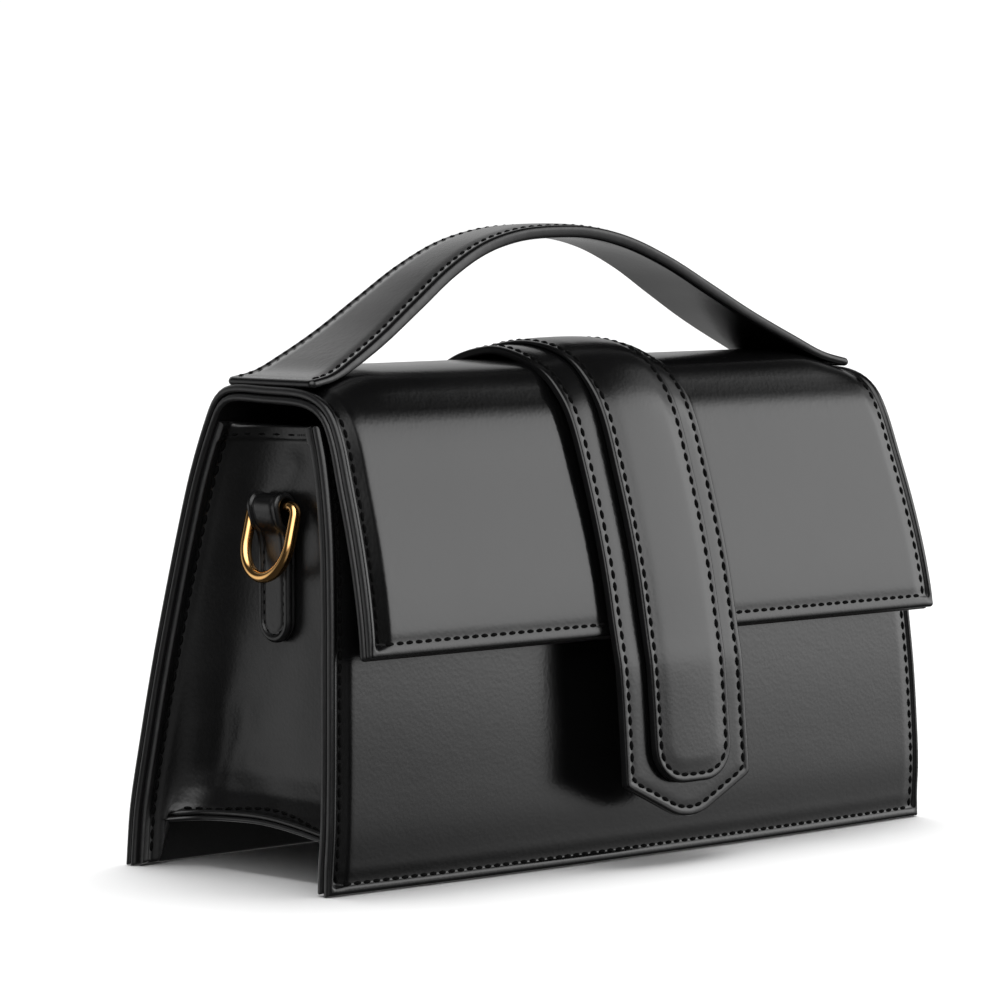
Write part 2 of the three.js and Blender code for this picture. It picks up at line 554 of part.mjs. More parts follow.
// ---------------------------------------------------------------- D-rings and their loops
function ringTab(side) {
  // the folded strip seen along the bag's depth, as a closed outline with the bar's hole
  const loopR = LOOP_PLAY + RING_WIRE_R + TAB_LAYER;
  const s = new THREE.Shape();
  s.moveTo(TAB_INNER_X, TAB_TAIL_Z);
  s.lineTo(TAB_INNER_X + 2 * TAB_LAYER, TAB_TAIL_Z);
  s.lineTo(TAB_INNER_X + 2 * TAB_LAYER, RING_BAR_Z - 7.4);
  s.quadraticCurveTo(RING_BAR_X + loopR - 0.6, RING_BAR_Z - 4.6, RING_BAR_X + loopR, RING_BAR_Z);
  s.absarc(RING_BAR_X, RING_BAR_Z, loopR, 0, Math.PI, false);
  s.lineTo(TAB_INNER_X, TAB_TAIL_Z);
  const hole = new THREE.Path();
  hole.absarc(RING_BAR_X, RING_BAR_Z, LOOP_PLAY + RING_WIRE_R, 0, Math.PI * 2, true);
  s.holes.push(hole);
  const strip = new THREE.ExtrudeGeometry(s, { depth: 2 * TAB_HALF, bevelEnabled: false, curveSegments: 10 });
  // the outline lies in (x, z); the strip's width runs along y
  strip.applyMatrix4(new THREE.Matrix4().makeBasis(
    new THREE.Vector3(1, 0, 0), new THREE.Vector3(0, 0, 1), new THREE.Vector3(0, -1, 0)));
  strip.translate(0, RING_Y + TAB_HALF, 0);
  // seen from the side the tail has a round end and narrows a little
  const o = new THREE.Shape();
  o.moveTo(-TAB_HALF, 115);
  o.lineTo(-TAB_HALF, TAB_TAIL_Z + TAB_HALF - 0.4);
  o.absarc(0, TAB_TAIL_Z + TAB_HALF - 0.4, TAB_HALF, Math.PI, 2 * Math.PI, false);
  o.lineTo(TAB_HALF, 115);
  o.closePath();
  const outline = new THREE.ExtrudeGeometry(o, { depth: 20, bevelEnabled: false, curveSegments: 12 });
  outline.applyMatrix4(new THREE.Matrix4().makeBasis(
    new THREE.Vector3(0, 1, 0), new THREE.Vector3(0, 0, 1), new THREE.Vector3(1, 0, 0)));
  outline.translate(TAB_INNER_X - 5, RING_Y, 0);
  const g = geometryOf(solidOf(strip).intersect(solidOf(outline)));
  if (side < 0) {
    g.applyMatrix4(new THREE.Matrix4().makeScale(-1, 1, 1));
    const index = Array.from(g.index.array);
    for (let i = 0; i < index.length; i += 3) [index[i + 1], index[i + 2]] = [index[i + 2], index[i + 1]];
    g.setIndex(index);
    g.computeVertexNormals();
  }
  return g;
}

function dRing() {
  // axis of the wire in its own plane: bar along Y at the top, a round bow below
  const axis = [];
  const corner = 2.4;
  const straight = RING_HALF - corner;
  axis.push([straight, 0], [0, 0], [-straight, 0]);
  for (const d of [30, 60]) {
    const a = d * Math.PI / 180;
    axis.push([-straight - corner * Math.sin(a), -corner + corner * Math.cos(a)]);
  }
  axis.push([-RING_HALF, -corner]);
  for (let i = 0; i <= 14; i++) {
    const a = Math.PI + (i / 14) * Math.PI;
    axis.push([RING_HALF * Math.cos(a), -RING_STRAIGHT + (RING_DROP - RING_STRAIGHT) * Math.sin(a)]);
  }
  axis.push([RING_HALF, -corner]);
  for (const d of [60, 30]) {
    const a = d * Math.PI / 180;
    axis.push([straight + corner * Math.sin(a), -corner + corner * Math.cos(a)]);
  }
  const rings = axis.map(([y, z], i) => {
    const p = axis[(i + axis.length - 1) % axis.length], q = axis[(i + 1) % axis.length];
    const ty = q[0] - p[0], tz = q[1] - p[1], l = Math.hypot(ty, tz);
    const ring = [];
    for (let k = 0; k < 10; k++) {
      const a = (k / 10) * 2 * Math.PI;
      const inPlane = RING_WIRE_R * Math.cos(a), off = RING_WIRE_R * Math.sin(a);
      ring.push(new THREE.Vector3(off, y - (tz / l) * inPlane, z + (ty / l) * inPlane));
    }
    return ring;
  });
  return bar(rings, true);
}

for (const [name, side] of [['left', -1], ['right', 1]]) {
  add(`ring_tab_${name}`, ringTab(side), softLeather);
  const ring = add(`d_ring_${name}`, dRing(), gold);
  ring.position.set(side * RING_BAR_X, RING_Y, RING_BAR_Z);
  ring.rotation.y = -side * THREE.MathUtils.degToRad(RING_LEAN);
}

// ---------------------------------------------------------------- place
// The origin is under the middle of the whole bag, on the surface it stands on.
bag.updateMatrixWorld(true);
const box = new THREE.Box3().setFromObject(bag, true);
bag.position.set(0, -(box.min.y + box.max.y) / 2, 0);
bag.updateMatrixWorld(true);

export default bag;
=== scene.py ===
import math
import bmesh
import bpy
import numpy as np
from mathutils import Matrix, Vector


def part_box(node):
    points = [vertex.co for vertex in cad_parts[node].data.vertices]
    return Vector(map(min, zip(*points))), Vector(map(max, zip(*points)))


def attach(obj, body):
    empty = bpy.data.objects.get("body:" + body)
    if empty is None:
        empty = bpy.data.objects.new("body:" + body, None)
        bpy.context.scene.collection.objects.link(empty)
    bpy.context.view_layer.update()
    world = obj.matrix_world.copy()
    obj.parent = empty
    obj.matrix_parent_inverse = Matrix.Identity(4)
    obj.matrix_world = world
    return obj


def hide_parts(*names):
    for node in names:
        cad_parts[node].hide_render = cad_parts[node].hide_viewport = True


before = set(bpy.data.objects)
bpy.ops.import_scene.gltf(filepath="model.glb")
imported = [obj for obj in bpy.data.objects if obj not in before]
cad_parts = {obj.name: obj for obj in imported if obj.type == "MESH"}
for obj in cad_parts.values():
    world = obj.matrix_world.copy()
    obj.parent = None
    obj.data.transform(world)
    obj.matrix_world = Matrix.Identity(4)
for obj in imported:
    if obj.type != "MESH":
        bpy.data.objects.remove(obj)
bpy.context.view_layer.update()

# A small structured flap bag of smooth black leather. All tables are in millimetres, with
# +X along the bag's width, the flap side facing -Y and +Z up; the pieces are made in metres.
MM = 0.001
BACK_FOOT_Y = 44.4
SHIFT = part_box("back_flap_shell")[1].y / MM - BACK_FOOT_Y     # the tables' y to the frame's y

# half width, y, z of the shell's outer face from the foot of the back to the flap's edge; thickness
SHELL = np.array([
    (120.0, 44.4, 0.0, 4.1), (119.4, 44.4, 8.0, 4.1), (118.8, 44.0, 17.0, 4.1), (117.4, 40.9, 37.0, 4.1),
    (115.9, 37.2, 58.0, 4.1), (114.4, 32.8, 79.0, 4.1), (112.9, 28.1, 99.5, 4.1), (112.0, 24.5, 113.0, 4.2),
    (111.2, 19.2, 127.0, 4.4), (110.9, 14.9, 134.9, 4.7), (110.9, 9.6, 138.1, 4.8), (111.1, -8.0, 138.4, 4.8),
    (111.2, -25.0, 137.6, 4.8), (111.4, -31.9, 135.2, 4.8), (111.6, -36.5, 131.4, 4.9), (111.9, -40.3, 124.6, 5.2),
    (112.5, -44.2, 113.7, 5.5), (113.3, -49.1, 99.2, 5.5), (114.1, -53.1, 84.7, 5.4), (114.7, -55.4, 73.4, 5.2),
    (115.0, -56.2, 67.7, 5.1)])
# half width, y, z of the front panel's outer face at its ends; bow at mid width
FRONT = np.array([
    (121.0, -45.0, 0.0, 3.4), (120.8, -45.0, 7.0, 3.3), (120.6, -45.6, 17.0, 3.0), (120.0, -45.4, 32.0, 2.6),
    (119.3, -44.8, 47.0, 2.2), (118.3, -43.8, 62.0, 1.8), (116.9, -42.3, 80.0, 1.3), (115.0, -39.5, 100.0, 0.8),
    (113.0, -34.8, 118.0, 0.4), (111.3, -30.1, 128.6, 0.2)])
# gusset: z, distance of the wall from the middle, rounding into the flanges, flare at the foot
GUSSET = np.array([
    (14.4, 101.2, 9.0, 4.2), (17.5, 101.0, 9.0, 2.4), (22.0, 100.8, 9.0, 0.8), (28.0, 100.5, 9.0, 0.0),
    (60.0, 99.9, 8.6, 0.0), (95.0, 99.7, 8.0, 0.0), (129.0, 99.2, 7.4, 0.0)])
# folds of the gusset: t0, z0, t1, z1, width, out (t from the back flange, 0, to the front one, 1)
FOLDS = np.array([                       # creases of the soft wall: y, z to y, z, width, height
    (3.0, 66, 14.0, 45, 8.0, 0.4), (14.0, 45, 21.0, 28, 8.0, 0.4), (20.0, 62, 26.0, 46, 9.0, -0.5),
    (-7.0, 116, -1.0, 107, 5.0, 0.6), (12.0, 29, 2.0, 23, 7.0, -0.5), (-12.0, 60, -8.0, 36, 12.0, 0.4)])
# tab: shell section, half width, stand-off of its outer face, pad's stand-off and half width
STRAP = np.array([
    (7.2, 25.0, 2.3, 2.2, 15.2), (9.0, 25.2, 2.0, 2.2, 15.2), (10.0, 25.4, 1.5, 2.0, 15.3), (10.5, 25.5, 2.2, 1.7, 15.4),
    (11.0, 25.5, 3.8, 1.6, 15.5), (11.5, 25.5, 4.4, 1.6, 15.5), (12.0, 25.5, 4.5, 1.8, 15.5), (13.0, 25.5, 4.6, 2.3, 15.5),
    (14.0, 25.4, 3.9, 2.8, 15.4), (15.0, 25.3, 3.1, 3.2, 15.4), (16.0, 25.2, 2.6, 3.3, 15.5), (17.0, 25.2, 2.4, 3.3, 15.5),
    (19.0, 25.2, 2.3, 3.3, 15.5), (20.0, 25.2, 2.6, 3.2, 15.5)])
# free part of the tab below the flap: half width, y, z, pad's stand-off and half width
STRAP_FREE = np.array([(25.1, -60.9, 58.2, 3.0, 15.5), (25.1, -62.6, 40.0, 3.0, 15.5), (25.2, -63.6, 27.0, 3.0, 15.5),
                       (25.2, -64.4, 13.2, 3.0, 15.5)])
STRAP_TIP_Z, TIP_R, CHAMFER = 13.2, 18.0, math.radians(26)
PAD_TIP_Z = 23.2
# half of the handle's arch: x, z of the upper face, front and rear edge, thickness
HANDLE = np.array([
    (0, 182.7, -13.3, 6.5, 3.6), (15, 181.9, -13.5, 7.0, 3.6), (30, 178.5, -14.4, 7.9, 3.7), (45, 172.1, -16.4, 8.3, 3.7),
    (60, 163.6, -18.9, 8.6, 3.7), (75, 154.9, -21.5, 8.9, 3.4), (90, 147.3, -24.1, 9.3, 3.0), (100, 142.7, -25.6, 9.9, 2.5),
    (110, 140.4, -26.6, 10.4, 2.3)])
HANDLE_SHIFT, HANDLE_TILT, HANDLE_FREE = -2.6, 0.016, 40.0
CROWN, CROWN_FULL_X, CROWN_END_X = 5.2, 87.0, 111.0
RING_Y, RING_BAR_X, RING_BAR_Z = -3.4, 103.7, 104.6
RING_WIRE_R, RING_HALF, RING_DROP, RING_STRAIGHT, RING_LEAN = 1.65, 9.3, 20.4, 10.2, math.radians(14)
TAB_INNER_X, TAB_LAYER, TAB_HALF, TAB_TAIL_Z, TAB_Y = 100.3, 1.3, 6.6, 65.8, -1.8


# ------------------------------------------------------------------ small helpers
def smooth(t):
    t = np.clip(t, 0.0, 1.0)
    return t * t * (3 - 2 * t)


def spline(points, per):
    """Smooth curve through rows of points (centripetal), per steps between two rows."""
    p = np.asarray(points, float)
    out = []
    for i in range(len(p) - 1):
        p1, p2 = p[i], p[i + 1]
        p0 = p[i - 1] if i > 0 else 2 * p1 - p2
        p3 = p[i + 2] if i < len(p) - 2 else 2 * p2 - p1
        d0, d1, d2 = (max(float(((a - b) ** 2).sum()) ** 0.25, 1e-5) for a, b in ((p0, p1), (p1, p2), (p2, p3)))
        t1 = ((p1 - p0) / d0 - (p2 - p0) / (d0 + d1) + (p2 - p1) / d1) * d1
        t2 = ((p2 - p1) / d1 - (p3 - p1) / (d1 + d2) + (p3 - p2) / d2) * d1
        k = np.linspace(0, 1, per, endpoint=False)[:, None]
        out.append(p1 + t1 * k + (-3 * p1 + 3 * p2 - 2 * t1 - t2) * k ** 2 + (2 * p1 - 2 * p2 + t1 + t2) * k ** 3)
    return np.concatenate(out + [p[-1:]])


def lengths(p):
    return np.concatenate([[0], np.cumsum(np.linalg.norm(np.diff(p, axis=0), axis=1))])


def normal_of(surf, u, w, flip, e=0.2):
    n = np.cross(surf(u, w + e) - surf(u, w - e), surf(u + e, w) - surf(u - e, w))
    return flip * n / np.maximum(np.linalg.norm(n, axis=1), 1e-12)[:, None]


def to_outline(p, poly):
    """Distance of points to a closed outline."""
    best = np.full(len(p), 1e9)
    for a, b in zip(poly, np.roll(poly, -1, axis=0)):
        ab = b - a
        t = np.clip(((p - a) @ ab) / max(ab @ ab, 1e-12), 0, 1)
        best = np.minimum(best, np.linalg.norm(p - a - t[:, None] * ab, axis=1))
    return best


def inset(poly, d, gap=0.25):
    """The outline moved inwards by d, as a dense closed path."""
    closed = np.vstack([poly, poly[:1]])
    s = lengths(closed)
    n = int(s[-1] / gap)
    at = np.linspace(0, s[-1], n, endpoint=False)
    q = np.stack([np.interp(at, s, closed[:, k]) for k in (0, 1)], 1)
    t = np.roll(q, -2, 0) - np.roll(q, 2, 0)
    t /= np.maximum(np.linalg.norm(t, axis=1), 1e-9)[:, None]
    nrm = np.stack([-t[:, 1], t[:, 0]], 1)
    area = 0.5 * np.sum(q[:, 0] * np.roll(q[:, 1], -1) - np.roll(q[:, 0], -1) * q[:, 1])
    m = q + nrm * (d if area > 0 else -d)
    return m[to_outline(m, poly) > d - 0.12]


COL = bpy.data.collections.new("bag")
bpy.context.scene.collection.children.link(COL)


def new_object(name, verts, faces, mats, body, index=None):
    """A smooth closed mesh from points in millimetres."""
    me = bpy.data.meshes.new(name)
    v = np.asarray(verts, float) + np.array([0, SHIFT, 0])
    v[:, 2] = np.maximum(v[:, 2], 0.0)            # what stands on the floor is flat there
    me.from_pydata((v * MM).tolist(), [], [list(map(int, f)) for f in faces])
    for m in mats:
        me.materials.append(m)
    if index is not None:
        me.polygons.foreach_set("material_index", np.asarray(index, np.int32))
    bm = bmesh.new()
    bm.from_mesh(me)
    bmesh.ops.recalc_face_normals(bm, faces=bm.faces)
    bm.to_mesh(me)
    bm.free()
    me.polygons.foreach_set("use_smooth", np.ones(len(me.polygons), bool))
    me.update()
    ob = bpy.data.objects.new(name, me)
    COL.objects.link(ob)
    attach(ob, body)
    return ob


# ------------------------------------------------------------------ materials
def material(name, build):
    m = bpy.data.materials.new(name)
    m.use_nodes = True
    nt = m.node_tree
    build(nt, nt.nodes["Principled BSDF"])
    return m


def node(nt, kind, **values):
    n = nt.nodes.new(kind)
    for k, v in values.items():
        if k in n.inputs:
            n.inputs[k].default_value = v
        else:
            setattr(n, k, v)
    return n


def leather_like(dark, pale, rough_lo, rough_hi, grain, pores, streaks):
    """Fine grain, pores and faint stretch marks at true size, with uneven polish."""
    def build(nt, bsdf):
        link = nt.links.new
        co = node(nt, "ShaderNodeTexCoord")
        cell = node(nt, "ShaderNodeTexVoronoi", feature="SMOOTH_F1", Scale=900.0, Smoothness=0.6)
        fine = node(nt, "ShaderNodeTexNoise", Scale=2600.0, Detail=3.0, Roughness=0.6)
        broad = node(nt, "ShaderNodeTexNoise", Scale=38.0, Detail=4.0, Roughness=0.55)
        stretch = node(nt, "ShaderNodeTexNoise", Scale=170.0, Detail=3.0, Roughness=0.6)
        for t in (cell, fine, broad, stretch):
            link(co.outputs["Object"], t.inputs["Vector"])
        tone = node(nt, "ShaderNodeMix", data_type="RGBA")
        tone.inputs[6].default_value = (*dark, 1)
        tone.inputs[7].default_value = (*pale, 1)
        link(broad.outputs[0], tone.inputs[0])
        link(tone.outputs[2], bsdf.inputs["Base Color"])
        mixed = node(nt, "ShaderNodeMath", operation="ADD")
        link(broad.outputs[0], mixed.inputs[0])
        link(fine.outputs[0], mixed.inputs[1])
        rough = node(nt, "ShaderNodeMapRange")
        for k, v in (("From Min", 0.7), ("From Max", 1.3), ("To Min", rough_lo), ("To Max", rough_hi)):
            rough.inputs[k].default_value = v
        link(mixed.outputs[0], rough.inputs["Value"])
        link(rough.outputs[0], bsdf.inputs["Roughness"])
        b1 = node(nt, "ShaderNodeBump", Strength=grain, Distance=0.00012)
        b2 = node(nt, "ShaderNodeBump", Strength=pores, Distance=0.00006)
        b3 = node(nt, "ShaderNodeBump", Strength=streaks, Distance=0.0004)
        link(cell.outputs["Distance"], b1.inputs["Height"])
        link(fine.outputs[0], b2.inputs["Height"])
        link(stretch.outputs[0], b3.inputs["Height"])
        link(b3.outputs[0], b1.inputs["Normal"])
        link(b1.outputs[0], b2.inputs["Normal"])
        link(b2.outputs[0], bsdf.inputs["Normal"])
        bsdf.inputs["Specular IOR Level"].default_value = 0.5
    return build


def shaded_edge_paint(nt, bsdf):
    """Painted shade: the painted edge with its shine turned down, so the side walls of the tab and its pad, which lie
    in shade, read black.
    """
    edge_paint(nt, bsdf)
    bsdf.inputs["Specular IOR Level"].default_value = 0.06


def edge_paint(nt, bsdf):
    link = nt.links.new
    co = node(nt, "ShaderNodeTexCoord")
    wave = node(nt, "ShaderNodeTexNoise", Scale=420.0, Detail=3.0, Roughness=0.6)
    wear = node(nt, "ShaderNodeTexNoise", Scale=70.0, Detail=5.0, Roughness=0.65)
    for t in (wave, wear):
        link(co.outputs["Object"], t.inputs["Vector"])
    tone = node(nt, "ShaderNodeMix", data_type="RGBA")
    tone.inputs[6].default_value = (0.0025, 0.0025, 0.0026, 1)
    tone.inputs[7].default_value = (0.0085, 0.0085, 0.0088, 1)
    link(wear.outputs[0], tone.inputs[0])
    link(tone.outputs[2], bsdf.inputs["Base Color"])
    rough = node(nt, "ShaderNodeMapRange")
    for k, v in (("From Min", 0.3), ("From Max", 0.7), ("To Min", 0.28), ("To Max", 0.40)):
        rough.inputs[k].default_value = v
    link(wave.outputs[0], rough.inputs["Value"])
    link(rough.outputs[0], bsdf.inputs["Roughness"])
    bump = node(nt, "ShaderNodeBump", Strength=0.25, Distance=0.0002)
    link(wave.outputs[0], bump.inputs["Height"])
    link(bump.outputs[0], bsdf.inputs["Normal"])


def thread_look(nt, bsdf):
    link = nt.links.new
    co = node(nt, "ShaderNodeTexCoord")
    ply = node(nt, "ShaderNodeTexNoise", Scale=2200.0, Detail=2.0)
    link(co.outputs["Object"], ply.inputs["Vector"])
    tone = node(nt, "ShaderNodeMix", data_type="RGBA")
    tone.inputs[6].default_value = (0.0006, 0.0006, 0.0006, 1)
    tone.inputs[7].default_value = (0.0022, 0.0022, 0.0023, 1)
    link(ply.outputs[0], tone.inputs[0])
    link(tone.outputs[2], bsdf.inputs["Base Color"])
    bump = node(nt, "ShaderNodeBump", Strength=0.5, Distance=0.0001)
    link(ply.outputs[0], bump.inputs["Height"])
    link(bump.outputs[0], bsdf.inputs["Normal"])
    bsdf.inputs["Roughness"].default_value = 0.8
    bsdf.inputs["Specular IOR Level"].default_value = 0.08


def gold_look(nt, bsdf):
    link = nt.links.new
    co = node(nt, "ShaderNodeTexCoord")
    haze = node(nt, "ShaderNodeTexNoise", Scale=260.0, Detail=4.0, Roughness=0.6)
    link(co.outputs["Object"], haze.inputs["Vector"])
    tone = node(nt, "ShaderNodeMix", data_type="RGBA")
    tone.inputs[6].default_value = (0.93, 0.50, 0.17, 1)
    tone.inputs[7].default_value = (0.98, 0.59, 0.24, 1)
    link(haze.outputs[0], tone.inputs[0])
    link(tone.outputs[2], bsdf.inputs["Base Color"])
    rough = node(nt, "ShaderNodeMapRange")
    for k, v in (("From Min", 0.3), ("From Max", 0.7), ("To Min", 0.10), ("To Max", 0.17)):
        rough.inputs[k].default_value = v
    link(haze.outputs[0], rough.inputs["Value"])
    link(rough.outputs[0], bsdf.inputs["Roughness"])
    bsdf.inputs["Metallic"].default_value = 1.0


LEATHER = material("black_leather", leather_like((0.0009, 0.0009, 0.00095), (0.0022, 0.0022, 0.0023), 0.175, 0.24, 0.14, 0.13, 0.08))
SOFT = material("black_soft_leather", leather_like((0.0018, 0.0018, 0.0019), (0.0045, 0.0045, 0.0047), 0.29, 0.37, 0.26, 0.18, 0.14))
LINING = material("black_lining", leather_like((0.0012, 0.0012, 0.0013), (0.0030, 0.0030, 0.0031), 0.55, 0.7, 0.10, 0.10, 0.10))
for part in LINING.node_tree.nodes:
    if part.type == "BSDF_PRINCIPLED":
        part.inputs["Specular IOR Level"].default_value = 0.2
EDGE = material("painted_edge", edge_paint)
# painted shade: the edge paint with its shine taken away, for the side walls of the tab and its pad, which lie in shade
SHADED_EDGE = material("edge_paint_painted_shade", shaded_edge_paint)
THREAD = material("black_thread", thread_look)
GOLD = material("gold_plating", gold_look)

# ------------------------------------------------------------------ sheets of leather
NEAR_EDGE = np.array([0, 0.08, 0.2, 0.4, 0.7, 1.05, 1.4, 1.75, 2.1, 2.4, 2.7, 3.0, 3.3, 3.65, 4.1, 4.6, 5.2, 5.9, 6.7, 7.6, 8.6, 9.8])


def across(lo, hi, inner):
    k = min(1.0, (hi - lo) / (2.4 * NEAR_EDGE[-1]))
    left, right = lo + NEAR_EDGE * k, hi - NEAR_EDGE[::-1] * k
    return np.concatenate([left, np.linspace(left[-1], right[0], inner + 2)[1:-1], right])


def along(lo, hi, step, first=True, last=True):
    a = lo + NEAR_EDGE if first else np.array([lo])
    b = hi - NEAR_EDGE[::-1] if last else np.array([hi])
    n = max(2, int((b[0] - a[-1]) / step))
    return np.concatenate([a, np.linspace(a[-1], b[0], n + 1)[1:-1], b])


def outline_of(rows, lo, hi):
    left = np.stack([[lo(u) for u in rows], rows], 1)
    right = np.stack([[hi(u) for u in rows], rows], 1)
    return np.vstack([left, right[::-1]])


def edge_form(rim=0.25, rim_w=2.0, groove=0.6, at=3.1, wide=0.8, puff=0.3, reach=4.0):
    """Height of a sewn sheet's face over the distance from its cut edge: a raised rim, the sunk
    sewing channel and the fuller face behind it."""
    def f(d):
        rise = rim * smooth(d / 0.9) * (1 - smooth((d - rim_w + 0.45) / 0.9))
        return rise - groove * np.exp(-((d - at) / wide) ** 2) + puff * smooth((d - at) / reach)
    return f


def sheet(name, surf, rows, lo, hi, inner, thick, flip, face, rounding, mats, body="bag", edge_wide=0.3, under=None, more=()):
    """A closed sheet: its outer face lies on surf(u, w), thick below it is its inner face, and
    its cut edges are rounded. lo and hi give the places of its sides in each row."""
    W = np.array([np.sort(np.concatenate([across(lo(u), hi(u), inner), more])) for u in rows])
    nr, nc = W.shape
    U = np.repeat(np.asarray(rows)[:, None], nc, 1)
    u, w = U.ravel(), W.ravel()
    poly = outline_of(rows, lo, hi)
    d = to_outline(np.stack([w, u], 1), poly)
    p, n = surf(u, w), normal_of(surf, u, w, flip)
    t = thick(u, w) if callable(thick) else np.full(len(u), float(thick))
    r = np.minimum(rounding, t * 0.499)
    bevel = np.where(d < r, r - np.sqrt(np.maximum(0, r * r - (r - d) ** 2)), 0.0)
    rise = face(d)
    if under is not None:
        rise = rise + under(u, w, d)
    top = p + n * (rise - bevel)[:, None]
    low = p - n * (t - bevel)[:, None]
    verts = np.vstack([top, low])
    N = nr * nc
    faces, index = [], []
    D = d.reshape(nr, nc)
    for i in range(nr - 1):
        for j in range(nc - 1):
            a, b, c, e = i * nc + j, i * nc + j + 1, (i + 1) * nc + j + 1, (i + 1) * nc + j
            faces.append((a, b, c, e))
            faces.append((N + a, N + e, N + c, N + b))
            k = 1 if D[i:i + 2, j:j + 2].mean() < edge_wide else 0
            index += [k, k if k else len(mats) - 1]
    for i in range(nr - 1):
        for j in (0, nc - 1):
            a, e = i * nc + j, (i + 1) * nc + j
            faces.append((a, e, N + e, N + a))
            index.append(1)
    for j in range(nc - 1):
        for i in (0, nr - 1):
            a, b = i * nc + j, i * nc + j + 1
            faces.append((a, b, N + b, N + a))
            index.append(1)
    ob = new_object(name, verts, faces, mats, body, index)
    return ob, poly


# one stitch: rings of six points, thick in the middle, both ends dipping into the leather
RING_T = np.array([-0.96, -0.6, 0.0, 0.6, 0.96])


def stitches(name, surf, flip, paths, pitch=3.5, dash=2.85, radius=0.60, height=-0.24, body="bag", form=None):
    """Sewing along paths of (w, u) points on a surface; paths are lists of points in order."""
    verts, faces = [], []
    for path in paths:
        path = np.asarray(path, float)
        s = lengths(path)
        count = max(1, int(round(s[-1] / pitch)))
        step = s[-1] / count
        for k in range(count):
            mid = (k + 0.5) * step
            where = np.array([mid - dash / 2, mid, mid + dash / 2])
            w, u = (np.interp(where, s, path[:, q]) for q in (0, 1))
            p, n = surf(u, w), normal_of(surf, u, w, flip)
            a, b, nn = p[0], p[2], n[1]
            t = (b - a) / max(np.linalg.norm(b - a), 1e-9)
            side = np.cross(t, nn)
            lean = 0.05 * math.sin(k * 2.7)
            deep = height + (0.0 if form is None else float(form(u[1:2], w[1:2])[0]))
            base = len(verts)
            for q in RING_T:
                r = radius * math.sqrt(1 - 0.86 * q * q)
                c = (a + b) / 2 + (b - a) / 2 * q + nn * (deep + 0.26 * (1 - q * q)) + side * lean * q
                for g in range(6):
                    x = g * math.pi / 3
                    verts.append(c + side * (r * math.cos(x)) + nn * (r * 0.85 * math.sin(x)))
            for i in range(4):
                for g in range(6):
                    h = (g + 1) % 6
                    faces.append((base + i * 6 + g, base + i * 6 + h, base + (i + 1) * 6 + h, base + (i + 1) * 6 + g))
            faces.append(tuple(base + g for g in range(6)))
            faces.append(tuple(base + 24 + g for g in range(5, -1, -1)))
    return new_object(name, verts, faces, [THREAD], body)


def pieces_of(path, keep, least=6.0):
    """The runs of a closed path where keep is true, in order."""
    ok = keep(path)
    if ok.all():
        return [np.vstack([path, path[:1]])]
    start = int(np.argmin(ok))
    path, ok = np.roll(path, -start, 0), np.roll(ok, -start)
    runs, run = [], []
    for q, good in zip(path, ok):
        if good and (not run or np.linalg.norm(q - run[-1]) < 1.5):
            run.append(q)
        else:
            runs.append(run)
            run = [q] if good else []
    runs.append(run)
    return [np.array(r) for r in runs if len(r) > 3 and lengths(np.array(r))[-1] > least]


# ------------------------------------------------------------------ shell: back, top and flap
PER = 40
shell_dense = spline(SHELL[:, :3], PER)


def soften(line, reach):
    """Evens out the bends of a dense curve over a length, with its ends kept."""
    s = lengths(line[:, 1:])
    out = line.copy()
    for i in range(len(line)):
        r = min(reach, 0.45 * s[i], 0.45 * (s[-1] - s[i]))
        if r > 0.2:
            g = np.exp(-((s - s[i]) / r) ** 2) * np.gradient(s)
            out[i] = (line * g[:, None]).sum(0) / g.sum()
    return out


shell_dense = soften(shell_dense, 2.2)
AT = np.arange(len(shell_dense)) / PER
# a short straight run past the flap's edge, for the lining's step
tail = shell_dense[-1] + (shell_dense[-1] - shell_dense[-4]) / np.linalg.norm((shell_dense[-1] - shell_dense[-4])[1:]) * 6.0
shell_line = np.vstack([shell_dense, tail])
AT_LINE = np.concatenate([AT, [20.0 + 6.0 / 5.7]])
S_LINE = lengths(shell_line[:, 1:])
S_END = S_LINE[-2]
at_of = lambda s: np.interp(s, S_LINE, AT_LINE)
s_of = lambda at: np.interp(at, AT_LINE, S_LINE)


def crown(at, x):
    """The soft top stands up between the handle's ends."""
    a = np.sin(np.pi * np.clip((at - 9) / 4.3, 0, 1))
    return CROWN * np.power(np.maximum(a, 0), 0.8) * smooth((CROWN_END_X - np.abs(x)) / (CROWN_END_X - CROWN_FULL_X))


def shell_surf(s, x):
    at = at_of(s)
    y, z = (np.interp(at, AT_LINE, shell_line[:, k]) for k in (1, 2))
    return np.stack([x, y, z + crown(at, x)], 1)


board = lambda s: np.interp(at_of(s), np.arange(len(SHELL)), SHELL[:, 3])
OUTER_PART = 0.47
LAYER_GAP = 0.12
FLIP_SHELL = -1.0
shell_half = lambda s: float(np.interp(at_of(s), AT_LINE, shell_line[:, 0]))


def rounded_half(s, end, radius, plus=0.0):
    up = end - s
    cut = radius - math.sqrt(max(0.0, radius ** 2 - (radius - up) ** 2)) if up < radius else 0.0
    return shell_half(s) + plus - cut


n0 = normal_of(shell_surf, np.array([60.0]), np.array([0.0]), 1.0)[0]
FLIP_SHELL = 1.0 if n0[1] > 0 else -1.0
S_OUT = S_END + 1.9                      # the flap's own edge
outer_hi = lambda s: rounded_half(s, S_OUT, 1.1)
outer_rows = along(0.0, S_OUT, 2.4)
BOTTOM_SEW, SIDE_SEW = 3.7, 4.2


